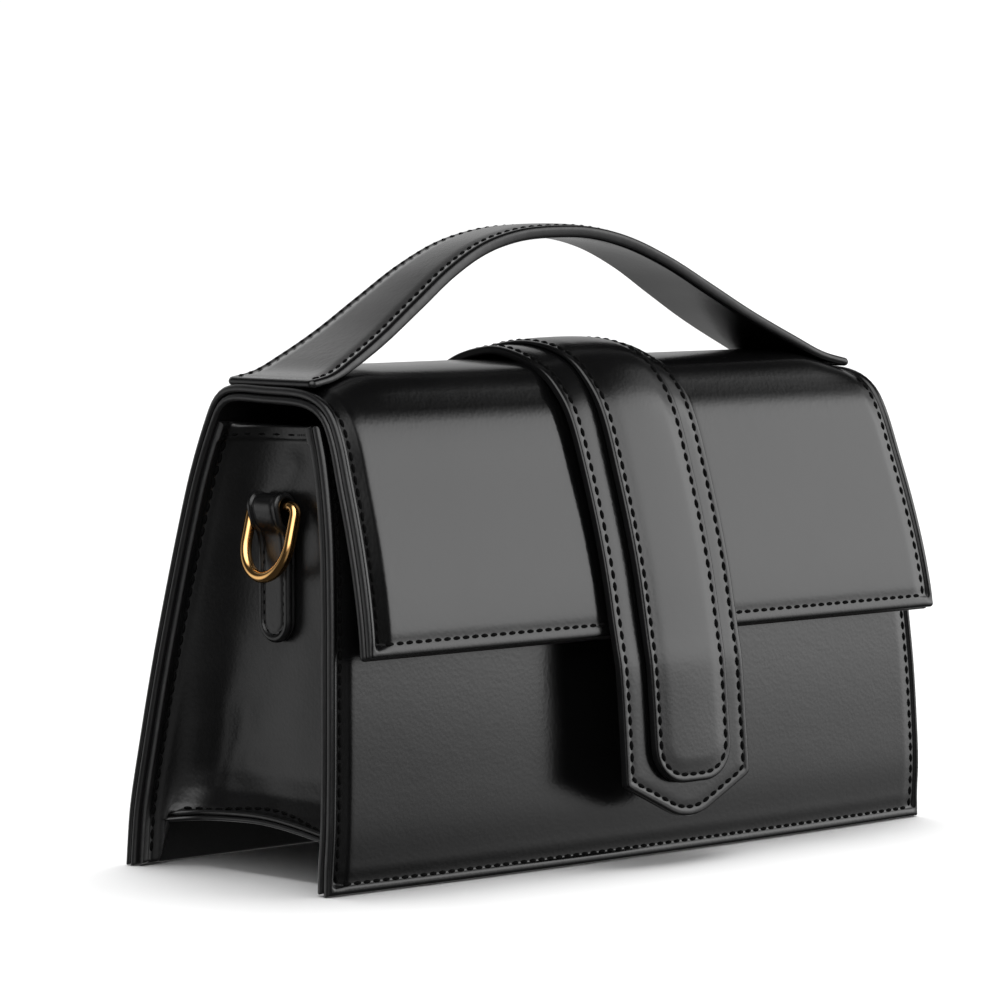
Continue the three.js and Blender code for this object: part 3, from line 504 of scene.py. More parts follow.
def shell_form(u, w, d=None):
    """Along the flap's edge a round rim below a shallow sewing line; along the two sides a rim and
    a deep channel, with the padded face falling into it."""
    half = np.interp(at_of(u), AT_LINE, shell_line[:, 0])
    ds, db = half - np.abs(w), S_OUT - u
    low = (0.20 * np.sin(np.pi * np.clip(db / 3.4, 0, 1))
           - 0.18 * smooth((db - 2.9) / 0.8) * (1 - smooth((db - BOTTOM_SEW) / 3.0)))
    side = (0.16 * np.sin(np.pi * np.clip(ds / 2.3, 0, 1))
            - np.where(w < 0, 1.85, 0.6) * smooth((ds - 1.8) / 1.1) * (1 - np.clip((ds - 2.8) / 5.0, 0, 1)))
    less = smooth((at_of(u) - 13.5) / 5.5)             # the tab presses the padded flap, less towards its edge
    press = smooth((at_of(u) - 12.6) / 2.4) * (1 - np.clip((np.abs(w) - 24.4) / (4.8 - 1.4 * less), 0, 1))
    return low * smooth((ds - 0.8) / 3.0) + side * smooth((db - 1.6) / 3.0) - (0.72 - 0.2 * less) * press * smooth((db - 3.0) / 4.0)


PRESSED = np.arange(21.013, 33.0, 0.8)
shell_outer, shell_poly = sheet(
    "shell_leather", shell_surf, outer_rows, lambda s: -outer_hi(s), outer_hi, 30,
    lambda u, w: board(u) * OUTER_PART, FLIP_SHELL, lambda d: 0 * d,
    1.0, [LEATHER, EDGE, LINING], under=shell_form, more=np.concatenate([-PRESSED[::-1], PRESSED]))
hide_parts("back_flap_shell")

LINING_DROP = 2.3
lining_end = S_END + LINING_DROP


def lining_surf(s, x):
    return shell_surf(s, x) - normal_of(shell_surf, s, x, FLIP_SHELL) * (board(s) * OUTER_PART + LAYER_GAP)[:, None]


lining_hi = lambda s: rounded_half(s, lining_end, 1.2, 0.1)
shell_lining, _ = sheet(
    "shell_lining", lining_surf, along(0.0, lining_end, 3.2), lambda s: -lining_hi(s), lining_hi, 20,
    lambda u, w: board(u) * (1 - OUTER_PART) - LAYER_GAP, FLIP_SHELL, lambda d: 0 * d, 1.2, [LINING, EDGE, LINING],
    edge_wide=0.75)
side_s = np.linspace(4.0, S_OUT - BOTTOM_SEW, 400)
side_w = np.array([shell_half(q) for q in side_s]) - SIDE_SEW
shell_runs = []                          # the handle's ends lie over the gap at the top
for sign in (-1, 1):
    line = np.stack([sign * side_w, side_s], 1)
    shell_runs += [line[side_s <= s_of(10.0)], line[side_s >= s_of(12.8)]]
for at_s, at_w in ((S_OUT - BOTTOM_SEW, side_w[-1] - 1.6), (4.0, side_w[0] - 1.6)):
    shell_runs.append(np.stack([np.linspace(-at_w, at_w, 300), np.full(300, at_s)], 1))
stitches("shell_stitches", shell_surf, FLIP_SHELL, shell_runs, pitch=3.5, form=shell_form)

# ------------------------------------------------------------------ front panel
front_dense = spline(FRONT[:, :3], 30)
front_bow = np.interp(np.arange(len(front_dense)) / 30, np.arange(len(FRONT)), FRONT[:, 3])
FS = lengths(front_dense[:, 1:])
front_half = lambda s: float(np.interp(s, FS, front_dense[:, 0]))
FRONT_THICK = 2.7


def front_surf(s, x):
    y, z, half, bow = (np.interp(s, FS, c) for c in (front_dense[:, 1], front_dense[:, 2], front_dense[:, 0], front_bow))
    return np.stack([x, y - bow * (1 - (x / half) ** 2), z], 1)


n0 = normal_of(front_surf, np.array([60.0]), np.array([0.0]), 1.0)[0]
FLIP_FRONT = 1.0 if n0[1] < 0 else -1.0


FRONT_SEW = 3.0


def front_form(u, w, d=None):
    half = np.interp(u, FS, front_dense[:, 0])
    ds, db = half - np.abs(w), u
    low = (0.16 * np.sin(np.pi * np.clip(db / 2.6, 0, 1))
           - 0.50 * smooth((db - 2.2) / 0.8) * (1 - smooth((db - FRONT_SEW) / 4.6)))
    side = (0.16 * np.sin(np.pi * np.clip(ds / 2.2, 0, 1))
            - np.where(w < 0, 1.55, 0.5) * smooth((ds - 1.7) / 1.1) * (1 - np.clip((ds - 2.6) / 4.4, 0, 1)))
    return low * smooth((ds - 0.8) / 3.0) + side * smooth((db - 1.4) / 3.0)


front_piece, front_poly = sheet(
    "front_leather", front_surf, along(0.0, FS[-1], 2.6), lambda s: -front_half(s), front_half, 30,
    FRONT_THICK, FLIP_FRONT, lambda d: 0 * d,
    1.2, [LEATHER, EDGE, LINING], edge_wide=0.35, under=front_form)
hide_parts("front_panel")
side_s = np.linspace(FRONT_SEW, 122.0, 300)
side_w = np.array([front_half(q) for q in side_s]) - 3.9
front_runs = [np.stack([sign * side_w, side_s], 1) for sign in (-1, 1)]
front_runs.append(np.stack([np.linspace(-side_w[0] + 1.6, side_w[0] - 1.6, 300), np.full(300, FRONT_SEW)], 1))
stitches("front_stitches", front_surf, FLIP_FRONT, front_runs, pitch=3.4, form=front_form)


# inner faces of the two panels, where the gussets are sewn on
def inner_line(surf, s, thick, flip):
    p = surf(s, np.zeros(len(s))) - normal_of(surf, s, np.zeros(len(s)), flip) * thick[:, None]
    return p


back_s = np.linspace(0, s_of(9.0), 120)
back_in = inner_line(shell_surf, back_s, board(back_s), FLIP_SHELL)
back_y = lambda z: np.interp(z, back_in[:, 2], back_in[:, 1])
front_in = np.stack([front_dense[:, 1], front_dense[:, 2]], 1)
tangent = np.gradient(front_in, axis=0)
tangent /= np.linalg.norm(tangent, axis=1)[:, None]
front_in = front_in + np.stack([tangent[:, 1], -tangent[:, 0]], 1) * 3.0


def front_y(z, x):
    half = np.interp(z, FRONT[:, 2], FRONT[:, 0])
    return np.interp(z, front_in[:, 1], front_in[:, 0]) - np.interp(z, FRONT[:, 2], FRONT[:, 3]) * (1 - np.minimum(1, np.abs(x) / half) ** 2)


# ------------------------------------------------------------------ gussets
FLANGE, ROUND, WALLW = 14.0, 20.0, 50.0
G_END = 2 * FLANGE + 2 * ROUND + WALLW
G_TOP = 126.0
FLANGE_T, GUSSET_T = 2.5, 1.6
SEAM_RISE, SEAM_DROP = 2.4, 3.0
SHIFT_Y = 0.0


def fold(y, z):
    out = np.zeros_like(z)
    for y0, z0, y1, z1, width, o in FOLDS:
        k = np.clip(((y - y0) * (y1 - y0) + (z - z0) * (z1 - z0)) / ((y1 - y0) ** 2 + (z1 - z0) ** 2), 0, 1)
        dist = np.hypot(y - (y0 + k * (y1 - y0)), z - (z0 + k * (z1 - z0)))
        out += o * np.exp(-1.6 * (dist / width) ** 2)
    return out


def gusset_surf(side):
    def f(u, w):
        v = np.clip(u / G_TOP, 0, 1)
        mid = smooth((w - FLANGE - 3) / 4) * (1 - smooth((w - (G_END - FLANGE - 6)) / 8))
        t = np.clip((w - FLANGE - ROUND) / WALLW, 0, 1)
        foot = 0.5 + (13.9 + SEAM_RISE * np.sin(np.pi * t) - SEAM_DROP * smooth((t - 0.35) / 0.65)) * mid
        z = foot + (127.3 + 0.3 * t - foot) * v
        xw, r, flare = (np.interp(z, GUSSET[:, 0], GUSSET[:, k]) for k in (1, 2, 3))
        flare = flare * mid
        yb = back_y(z) + 0.15 - FLANGE_T
        yf = lambda x: front_y(z, x) - 0.15 + FLANGE_T
        eb = np.interp(z, SHELL[:10, 2], SHELL[:10, 0]) - 1.5
        ef = np.interp(z, FRONT[:, 2], FRONT[:, 0]) - 0.3
        x, y = np.zeros_like(z), np.zeros_like(z)
        a = w <= FLANGE
        k = w / FLANGE
        rb = np.minimum(16.0, eb - xw - 1.6)            # the wall sweeps round into the back flange
        deep = np.interp(z, (0, 26, 36, 45, 55, 66, 85, 112, 128), (13.5, 14.0, 16.0, 19.5, 24.5, 27.5, 25.5, 24.5, 21.0))
        x = np.where(a, eb + (xw + rb - eb) * k, x); y = np.where(a, yb, y)
        b = (w > FLANGE) & (w <= FLANGE + ROUND)
        g = (w - FLANGE) / ROUND * np.pi / 2
        x = np.where(b, xw + rb - rb * np.sin(g), x); y = np.where(b, yb - deep + deep * np.cos(g), y)
        c = (w > FLANGE + ROUND) & (w <= FLANGE + ROUND + WALLW)
        x = np.where(c, xw, x); y = np.where(c, (yb - deep) * (1 - t) + (yf(xw) + r) * t, y)
        e = (w > FLANGE + ROUND + WALLW) & (w <= G_END - FLANGE)
        g = (w - FLANGE - ROUND - WALLW) / ROUND * np.pi / 2
        xe = xw + r - r * np.cos(g)
        x = np.where(e, xe, x); y = np.where(e, yf(xe) + r - r * np.sin(g), y)
        h = w > G_END - FLANGE
        k = (w - G_END + FLANGE) / FLANGE
        xh = xw + r + (ef - xw - r) * k
        x = np.where(h, xh, x); y = np.where(h, yf(xh), y)
        end = np.where(w < G_END / 2, eb, ef)
        x = x + flare * np.maximum(0, 1 - np.maximum(0, x - xw) / (end - xw))
        x = x + fold(y - SHIFT_Y, z) * smooth((w - FLANGE - 2) / 8) * (1 - smooth((w - G_END + FLANGE + 12) / 10))
        return np.stack([side * x, y, z], 1)
    return f


def gusset_thick(u, w):
    near = np.minimum(w, G_END - w)
    return FLANGE_T + (GUSSET_T - FLANGE_T) * smooth((near - FLANGE) / ROUND)


HEM = 3.1
for side, name in ((-1, "left"), (1, "right")):
    surf = gusset_surf(side)
    n0 = normal_of(surf, np.array([60.0]), np.array([G_END / 2]), 1.0)[0]
    flip = 1.0 if n0[0] * side > 0 else -1.0
    # hem turned over at the top: a soft step with sewing just above it
    w_fine = np.linspace(0, FLANGE + ROUND, 200)

    def from_back(u, w, surf=surf):
        """Distance over the leather from the edge of the back flange."""
        out = np.zeros(len(u))
        for one in np.unique(u):
            m = u == one
            out[m] = np.interp(w[m], w_fine, lengths(surf(np.full(200, one), w_fine)))
        return out

    hem = lambda u, w, d: 0.55 * smooth((u - (G_TOP - HEM - 2.2)) / 1.2) - 0.9 * np.exp(-((from_back(u, w) - 3.2) / 1.2) ** 2)
    ob, poly = sheet(f"gusset_{name}_leather", surf, along(0.0, G_TOP, 1.7), lambda s: 0.0, lambda s: G_END, 130,
                     gusset_thick, flip, lambda d: 0 * d, 1.2, [SOFT, EDGE, LINING], edge_wide=0.5, under=hem)
    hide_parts(f"gusset_{name}")
    ww = np.linspace(FLANGE * 0.7, G_END - FLANGE * 0.7, 160)
    lines = [np.stack([ww, np.full(160, G_TOP - HEM)], 1)]
    ww = np.linspace(FLANGE + ROUND * 0.5, G_END - FLANGE - ROUND * 0.5, 160)
    lines.append(np.stack([ww, np.full(160, 2.0)], 1))
    up = np.linspace(3.0, G_TOP - 5.0, 160)
    side_run = [np.interp(3.2, lengths(surf(np.full(200, q), w_fine)), w_fine) for q in up]
    stitches(f"gusset_{name}_side_stitches", surf, flip, [np.stack([side_run, up], 1)], height=-1.0)
    stitches(f"gusset_{name}_stitches", surf, flip, lines, pitch=3.5, dash=2.3, radius=0.40, height=0.16)

# ------------------------------------------------------------------ bottom panel and its turned-out seams
BOTTOM_Z = 13.0


def sweep(y):
    """How far the gusset's wall swings out at its foot towards the back."""
    k = np.clip((y - (by1 - 16.0)) / 13.5, 0, 0.86)
    return 15.0 * (1 - np.sqrt(1 - k * k))



def bottom_half(q):
    return 105.9 + 0.9 * math.sin(math.pi * min(1, max(0, q))) + float(sweep(by0 + q * (by1 - by0)))


by0, by1 = float(front_y(np.array([13.0]), np.array([0.0]))[0]) + 0.5, float(back_y(np.array([14.0]))[0]) - 0.5


def bottom_surf(u, w):
    """u runs from the front panel to the back panel, w along the bag's width."""
    q = np.clip((u - by0) / (by1 - by0), 0, 1)
    near = smooth((np.abs(w) - 70) / 30)
    return np.stack([w, u, BOTTOM_Z + 0.4 * near + ((SEAM_RISE + 0.1) * np.sin(np.pi * q) - SEAM_DROP * smooth((0.6 - q) / 0.6)) * near ** 2], 1)


def bottom_lo(u):
    return -bottom_half((u - by0) / (by1 - by0))


bottom_rows = np.linspace(by0 + 3.6, by1 - 3.4, 44)
bottom_piece, _ = sheet("bottom_leather", bottom_surf, bottom_rows, bottom_lo, lambda u: -bottom_lo(u), 36, 1.5, 1.0,
                        lambda d: 0 * d, 0.7, [SOFT, EDGE, SOFT], edge_wide=1.2)
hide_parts("bottom_panel")
# the gusset's own lip lies on the bottom's lip
for side, name in ((-1, "left"), (1, "right")):
    lo_x, hi_x = 101.6, 106.6

    def lip_surf(u, w, side=side):
        q = np.clip((u - by0) / (by1 - by0), 0, 1)
        out = np.abs(w)
        return np.stack([side * (out + sweep(u)), u, BOTTOM_Z + 2.0 + SEAM_RISE * np.sin(np.pi * q) - SEAM_DROP * smooth((0.6 - q) / 0.6) + 1.4 * smooth((104.4 - out) / 2.6)], 1)

    n0 = normal_of(lip_surf, np.array([0.0]), np.array([104.0]), 1.0)[0]
    lip, _ = sheet(f"seam_lip_{name}", lip_surf, np.linspace(by0 + 8.0, by1 - 5.5, 60), lambda u: lo_x,
                   lambda u: hi_x - 0.4 + 0.5 * math.sin(math.pi * min(1, max(0, (u - by0) / (by1 - by0)))), 4, 1.35,
                   1.0 if n0[2] > 0 else -1.0, lambda d: 0 * d, 0.6, [SOFT, EDGE, SOFT], edge_wide=1.0)

# ------------------------------------------------------------------ tab over the top and down the front
STRAP_LIFT = 0.8
rows = []
for at in np.arange(7.2, 20.001, 0.2):
    s = s_of(at)
    n = normal_of(shell_surf, np.array([s]), np.array([0.0]), FLIP_SHELL)[0]
    half, off, pad, pad_half = (float(np.interp(at, STRAP[:, 0], STRAP[:, k])) for k in (1, 2, 3, 4))
    p = shell_surf(np.array([s]), np.array([0.0]))[0] + n * (off + STRAP_LIFT)
    rows.append((half, p[1], p[2], pad, pad_half))
for half, y, z, pad, pad_half in STRAP_FREE:
    rows.append((half, y - STRAP_LIFT, z, pad, pad_half))
strap_rows = np.array(rows)
kernel = np.array([0.25, 0.5, 0.25])
for _ in range(9):                       # the tab bends softly, without the table's corners
    m = strap_rows.copy()
    m[1:-1] = 0.25 * strap_rows[:-2] + 0.5 * strap_rows[1:-1] + 0.25 * strap_rows[2:]
    keep = strap_rows[:, 2] < 60
    m[keep] = strap_rows[keep]
    strap_rows = m
strap_dense = spline(strap_rows, 12)
SS = lengths(strap_dense[:, 1:3])
strap_col = lambda s, k: np.interp(s, SS, strap_dense[:, k])
STRAP_T = 2.4
tip_low = STRAP_TIP_Z - TIP_R * (1 / math.cos(CHAMFER) - 1)


def strap_half(s):
    h, z = float(strap_col(s, 0)), float(strap_col(s, 2))
    if s < SS[-1] * 0.6 or z > 40:
        return h
    dz = z - STRAP_TIP_Z
    if dz < TIP_R * (1 - math.cos(CHAMFER)):
        return max(0.6, math.sqrt(max(0.0, TIP_R ** 2 - (TIP_R - dz) ** 2)))
    lim = (z - tip_low) / math.tan(CHAMFER)
    # soft corner where the side meets the sloping end
    return min(h, lim) - 0.35 * math.exp(-((h - lim) / 1.2) ** 2)


STRAP_DROOP, DROOP_WAY = 3.0, 1.0


def strap_surf(s, w):
    """The tab's sides droop a little where it bends over the top."""
    y, z = strap_col(s, 1), strap_col(s, 2)
    e = 0.5
    ty, tz = strap_col(s + e, 1) - strap_col(s - e, 1), strap_col(s + e, 2) - strap_col(s - e, 2)
    L = np.maximum(np.hypot(ty, tz), 1e-9)
    droop = STRAP_DROOP * smooth((-6.0 - y) / 22.0) * smooth((y + 50.0) / 22.0) * np.minimum(1.1, np.abs(w) / 25.0) ** 2
    return np.stack([w, y + droop * -tz / L * DROOP_WAY, z + droop * ty / L * DROOP_WAY], 1)


n0 = normal_of(strap_surf, np.array([SS[-1] * 0.8]), np.array([0.0]), 1.0)[0]
FLIP_STRAP = 1.0 if n0[1] < 0 else -1.0
s_corner = float(np.interp(-28.0, -strap_dense[::1, 2][strap_dense[:, 1] < -50], SS[strap_dense[:, 1] < -50]))
end_rows = np.linspace(s_corner, SS[-1], 44)
strap_rows_u = np.concatenate([along(0.0, s_corner, 2.2, True, False)[:-1], end_rows])
# the tab's side walls take the shineless edge paint: painted shade
strap_piece, strap_poly = sheet(
    "strap_leather", strap_surf, strap_rows_u, lambda s: -strap_half(s), strap_half, 12, STRAP_T, FLIP_STRAP,
    edge_form(rim=0.12, rim_w=1.9, groove=0.05, at=2.6, wide=0.6, puff=0.10, reach=2.5), 0.6, [LEATHER, SHADED_EDGE, LINING],
    edge_wide=0.06)
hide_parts("strap_base")
strap_path = inset(strap_poly, 2.6)
stitches("strap_stitches", strap_surf, FLIP_STRAP, [np.vstack([strap_path, strap_path[:1]])], height=-0.22)

# padded strip sewn on the tab
pad_s0 = float(SS[int(0.04 * len(SS))])
s_pad_end = float(np.interp(-PAD_TIP_Z, -strap_dense[:, 2][strap_dense[:, 1] < -50], SS[strap_dense[:, 1] < -50]))
PAD_R = 11.5


def pad_half(s):
    h = float(strap_col(s, 4))
    up = s_pad_end - s
    if up < PAD_R:
        k = (PAD_R - up) / PAD_R
        return max(1.0, (h - PAD_R) + PAD_R * math.sqrt(max(0.0, 1 - k ** 2.3)) if h > PAD_R else h * math.sqrt(max(0.0, 1 - k * k)))
    return h


def pad_surf(s, w):
    base = strap_surf(s, w)
    n = normal_of(strap_surf, s, w, FLIP_STRAP)
    return base + n * (strap_col(s, 3) - 0.45 * np.minimum(1, np.abs(w) / 15.5) ** 2)[:, None]


pad_rows = np.concatenate([along(pad_s0, s_pad_end - PAD_R, 2.2, True, False)[:-1],
                           s_pad_end - PAD_R * (1 - np.sin(np.linspace(0, 1, 40) * math.pi / 2))])
# the pad's side walls take the shineless edge paint: painted shade
pad_piece, pad_poly = sheet(
    "pad_leather", pad_surf, pad_rows, lambda s: -pad_half(s), pad_half, 14,
    lambda u, w: np.maximum(1.2, strap_col(u, 3) - 0.45 * np.minimum(1, np.abs(w) / 15.5) ** 2 - 0.25), FLIP_STRAP,
    edge_form(rim=0.12, rim_w=1.6, groove=0.05, at=2.3, wide=0.6, puff=0.30, reach=5.0), 0.7, [LEATHER, SHADED_EDGE, LEATHER],
    edge_wide=0.06)
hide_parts("strap_pad")
pad_path = inset(pad_poly, 2.3)
stitches("pad_stitches", pad_surf, FLIP_STRAP, [np.vstack([pad_path, pad_path[:1]])], height=-0.22)

# ------------------------------------------------------------------ handle
half_rows = HANDLE
full = np.vstack([half_rows[:0:-1] * np.array([-1, 1, 1, 1, 1]), half_rows])
full_xz = spline(full[:, :2], 24)
full_rest = spline(full[:, [0, 2, 3, 4]], 24)[:, 1:]
ax = np.abs(full_xz[:, 0])
lean = np.clip((110 - ax) / HANDLE_FREE, 0, 1)
handle_line = np.stack([full_xz[:, 0] + HANDLE_SHIFT * lean, full_xz[:, 1] + HANDLE_TILT * full_xz[:, 0] * lean], 1)
HS = lengths(handle_line)
handle_col = lambda s, c: np.interp(s, HS, c)
handle_mid = (full_rest[:, 0] + full_rest[:, 1]) / 2
handle_hw = (full_rest[:, 1] - full_rest[:, 0]) / 2


def handle_surf(s, w):
    # the band cups a little across, most at the top of the arch
    cup = 0.5 * np.cos(np.clip((s / HS[-1] - 0.5) * np.pi, -np.pi / 2, np.pi / 2))
    f = w / handle_col(s, handle_hw)
    return np.stack([handle_col(s, handle_line[:, 0]), handle_col(s, handle_mid) + w, handle_col(s, handle_line[:, 1]) - cup * f * f], 1)


n0 = normal_of(handle_surf, np.array([HS[-1] / 2]), np.array([0.0]), 1.0)[0]
FLIP_HANDLE = 1.0 if n0[2] > 0 else -1.0


def handle_half(s):
    h = float(handle_col(s, handle_hw))
    up = min(s, HS[-1] - s)
    return h - (2.0 - math.sqrt(max(0.0, 4.0 - (2.0 - up) ** 2)) if up < 2.0 else 0.0)


handle_piece, handle_poly = sheet(
    "handle_leather", handle_surf, along(0.0, HS[-1], 1.9), lambda s: -handle_half(s), handle_half, 10,
    lambda u, w: handle_col(u, full_rest[:, 2]), FLIP_HANDLE,
    edge_form(rim=0.12, rim_w=1.9, groove=0.08, at=3.0, wide=0.75, puff=0.2, reach=3.0), 1.2, [LEATHER, EDGE, LEATHER],
    edge_wide=0.15)
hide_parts("handle")
at_s = np.linspace(2.6, HS[-1] - 2.6, 500)
edge_w = np.array([handle_half(q) for q in at_s])
hp = [np.stack([3.0 - edge_w, at_s], 1), np.stack([edge_w - 1.8, at_s], 1)]
for end in (5.0, HS[-1] - 5.0):                    # bars that hold the ends down
    h = handle_half(end)
    hp.append(np.stack([np.linspace(0.9 - h, 4.6 - h, 20), np.full(20, end)], 1))
stitches("handle_stitches", handle_surf, FLIP_HANDLE, hp, pitch=3.4, dash=2.45, radius=0.46, height=-0.26)

# ------------------------------------------------------------------ loops that hold the D-rings
mid_r = 2.2 + TAB_LAYER / 2
x_in, x_out = TAB_INNER_X + TAB_LAYER / 2, TAB_INNER_X + 1.5 * TAB_LAYER
turn = [(RING_BAR_X - mid_r * math.cos(a), RING_BAR_Z + mid_r * math.sin(a)) for a in np.linspace(0, math.pi * 1.12, 26)]
loop_pts = [(x_in, TAB_TAIL_Z + 0.2), (x_in, 80.0), (x_in, 95.0), (x_in, 101.0)] + turn + [
    (RING_BAR_X + mid_r - 1.3, RING_BAR_Z - 4.6), (x_out + 0.9, RING_BAR_Z - 7.2), (x_out + 0.12, RING_BAR_Z - 10.4),
    (x_out, RING_BAR_Z - 14), (x_out, 80.0), (x_out, TAB_TAIL_Z)]
loop_line = spline(np.array(loop_pts), 8)
LS = lengths(loop_line)


def loop_half(s):
    up = min(s, LS[-1] - s)
    return TAB_HALF - (TAB_HALF * (1 - math.sqrt(max(0.0, 1 - (1 - up / TAB_HALF) ** 2))) if up < TAB_HALF else 0.0)


ring_axis = []
for side, name in ((-1, "left"), (1, "right")):
    def loop_surf(s, w, side=side):
        s = np.clip(s, 0, LS[-1])
        x, z = np.interp(s, LS, loop_line[:, 0]), np.interp(s, LS, loop_line[:, 1])
        e = 0.2
        tx = np.interp(s + e, LS, loop_line[:, 0]) - np.interp(s - e, LS, loop_line[:, 0])
        tz = np.interp(s + e, LS, loop_line[:, 1]) - np.interp(s - e, LS, loop_line[:, 1])
        L = np.maximum(np.hypot(tx, tz), 1e-9)
        nx, nz = -tz / L, tx / L            # away from the bar
        return np.stack([side * (x + nx * TAB_LAYER / 2), TAB_Y + w, z + nz * TAB_LAYER / 2], 1)

    n0 = normal_of(loop_surf, np.array([LS[-1] * 0.8]), np.array([0.0]), 1.0)[0]
    flip = 1.0 if n0[0] * side > 0 else -1.0
    rows_u = np.concatenate([TAB_HALF * (1 - np.cos(np.linspace(0.08, 1, 16) * math.pi / 2)), np.linspace(TAB_HALF, LS[-1] - TAB_HALF, 70)[1:-1],
                             LS[-1] - TAB_HALF * (1 - np.cos(np.linspace(1, 0.08, 16) * math.pi / 2))])
    half = lambda s: max(0.8, loop_half(s))
    ob, poly = sheet(f"loop_{name}_leather", loop_surf, rows_u, lambda s: -half(s), half, 6, TAB_LAYER - 0.04, flip,
                     edge_form(rim=0.50, rim_w=2.1, groove=0.20, at=2.35, wide=0.5, puff=0.12, reach=1.6), 0.6,
                     [SOFT, EDGE, LINING], edge_wide=0.08)
    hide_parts(f"ring_tab_{name}")
    s_top = float(LS[-1] - 27.0)
    path = inset(poly, 2.35, 0.15)
    runs = pieces_of(path, lambda q: q[:, 1] > s_top)
    runs.append(np.stack([np.linspace(-4.2, 4.2, 20), np.full(20, s_top)], 1))
    stitches(f"loop_{name}_stitches", loop_surf, flip, runs, pitch=2.9, dash=1.5, radius=0.22, height=-0.30)

    # D-ring: a round bow with a straight bar, leaning out of the stiff loop
    corner = 2.4
    axis = [(RING_HALF - corner, 0.0)]
    axis += [(y, 0.0) for y in np.linspace(RING_HALF - corner, -(RING_HALF - corner), 12)[1:]]
    axis += [(-(RING_HALF - corner) - corner * math.sin(a), -corner + corner * math.cos(a)) for a in np.linspace(0, math.pi / 2, 9)[1:]]
    axis += [(-RING_HALF, z) for z in np.linspace(-corner, -RING_STRAIGHT, 5)[1:]]
    axis += [(RING_HALF * math.cos(a), -RING_STRAIGHT + (RING_DROP - RING_STRAIGHT) * math.sin(a)) for a in np.linspace(math.pi, 2 * math.pi, 49)[1:]]
    axis += [(RING_HALF, z) for z in np.linspace(-RING_STRAIGHT, -corner, 5)[1:]]
    axis += [((RING_HALF - corner) + corner * math.sin(a), -corner + corner * math.cos(a)) for a in np.linspace(math.pi / 2, 0, 9)[1:-1]]
    axis = np.array(axis)
    tan = np.roll(axis, -1, 0) - np.roll(axis, 1, 0)
    tan /= np.linalg.norm(tan, axis=1)[:, None]
    M = 20
    verts, faces = [], []
    for (y, z), (ty, tz) in zip(axis, tan):
        for k in range(M):
            a = 2 * math.pi * k / M
            c, o = RING_WIRE_R * math.cos(a), RING_WIRE_R * math.sin(a)
            yy, zz = y - tz * c, z + ty * c
            # lean about the bar
            xx = o * math.cos(RING_LEAN) - zz * math.sin(RING_LEAN)
            zz = o * math.sin(RING_LEAN) + zz * math.cos(RING_LEAN)
            verts.append((side * (RING_BAR_X + xx), RING_Y + yy, RING_BAR_Z + zz))
    for i in range(len(axis)):
        for k in range(M):
            i2, k2 = (i + 1) % len(axis), (k + 1) % M
            faces.append((i * M + k, i * M + k2, i2 * M + k2, i2 * M + k))
    ring = new_object(f"ring_{name}_metal", verts, faces, [GOLD], f"ring_{name}")
    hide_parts(f"d_ring_{name}")

# ------------------------------------------------------------------ floor, light and camera
me = bpy.data.meshes.new("floor")
R = 12.0
me.from_pydata([(R * math.cos(a), R * math.sin(a), -0.0002) for a in np.linspace(0, 2 * math.pi, 64, endpoint=False)], [], [tuple(range(64))])
floor = bpy.data.objects.new("floor", me)
bpy.context.scene.collection.objects.link(floor)


def floor_look(nt, bsdf):
    co = node(nt, "ShaderNodeTexCoord")
    haze = node(nt, "ShaderNodeTexNoise", Scale=3.0, Detail=2.0)
    nt.links.new(co.outputs["Object"], haze.inputs["Vector"])
    tone = node(nt, "ShaderNodeMix", data_type="RGBA")
    tone.inputs[6].default_value = (0.90, 0.90, 0.90, 1)
    tone.inputs[7].default_value = (0.93, 0.93, 0.93, 1)
    nt.links.new(haze.outputs[0], tone.inputs[0])
    nt.links.new(tone.outputs[2], bsdf.inputs["Base Color"])
    bsdf.inputs["Roughness"].default_value = 0.95
    bsdf.inputs["Specular IOR Level"].default_value = 0.1


me.materials.append(material("pale_floor", floor_look))
floor.visible_glossy = False

world = bpy.data.worlds.new("studio")
bpy.context.scene.world = world
world.use_nodes = True
nt = world.node_tree
nt.nodes.clear()
link = nt.links.new
co = node(nt, "ShaderNodeTexCoord")


up_part = node(nt, "ShaderNodeSeparateXYZ")
link(co.outputs["Generated"], up_part.inputs[0])


def lobe(direction, start, full, strength, low=None):
    """A soft patch of light round a direction, in degrees from it; low = (from, to) makes it fade
    in with height."""
    d = Vector(direction).normalized()
    dot = node(nt, "ShaderNodeVectorMath", operation="DOT_PRODUCT")
    dot.inputs[1].default_value = d
    link(co.outputs["Generated"], dot.inputs[0])
    rng = node(nt, "ShaderNodeMapRange", interpolation_type="SMOOTHSTEP")
    for k, v in (("From Min", math.cos(math.radians(start))), ("From Max", math.cos(math.radians(full))), ("To Min", 0.0), ("To Max", strength)):
        rng.inputs[k].default_value = v
    link(dot.outputs["Value"], rng.inputs["Value"])
    if low is None:
        return rng.outputs[0]
    fade = node(nt, "ShaderNodeMapRange", interpolation_type="SMOOTHSTEP")
    for k, v in (("From Min", low[0]), ("From Max", low[1])):
        fade.inputs[k].default_value = v
    link(up_part.outputs["Z"], fade.inputs["Value"])
    both = node(nt, "ShaderNodeMath", operation="MULTIPLY")
    link(rng.outputs[0], both.inputs[0])
    link(fade.outputs[0], both.inputs[1])
    return both.outputs[0]


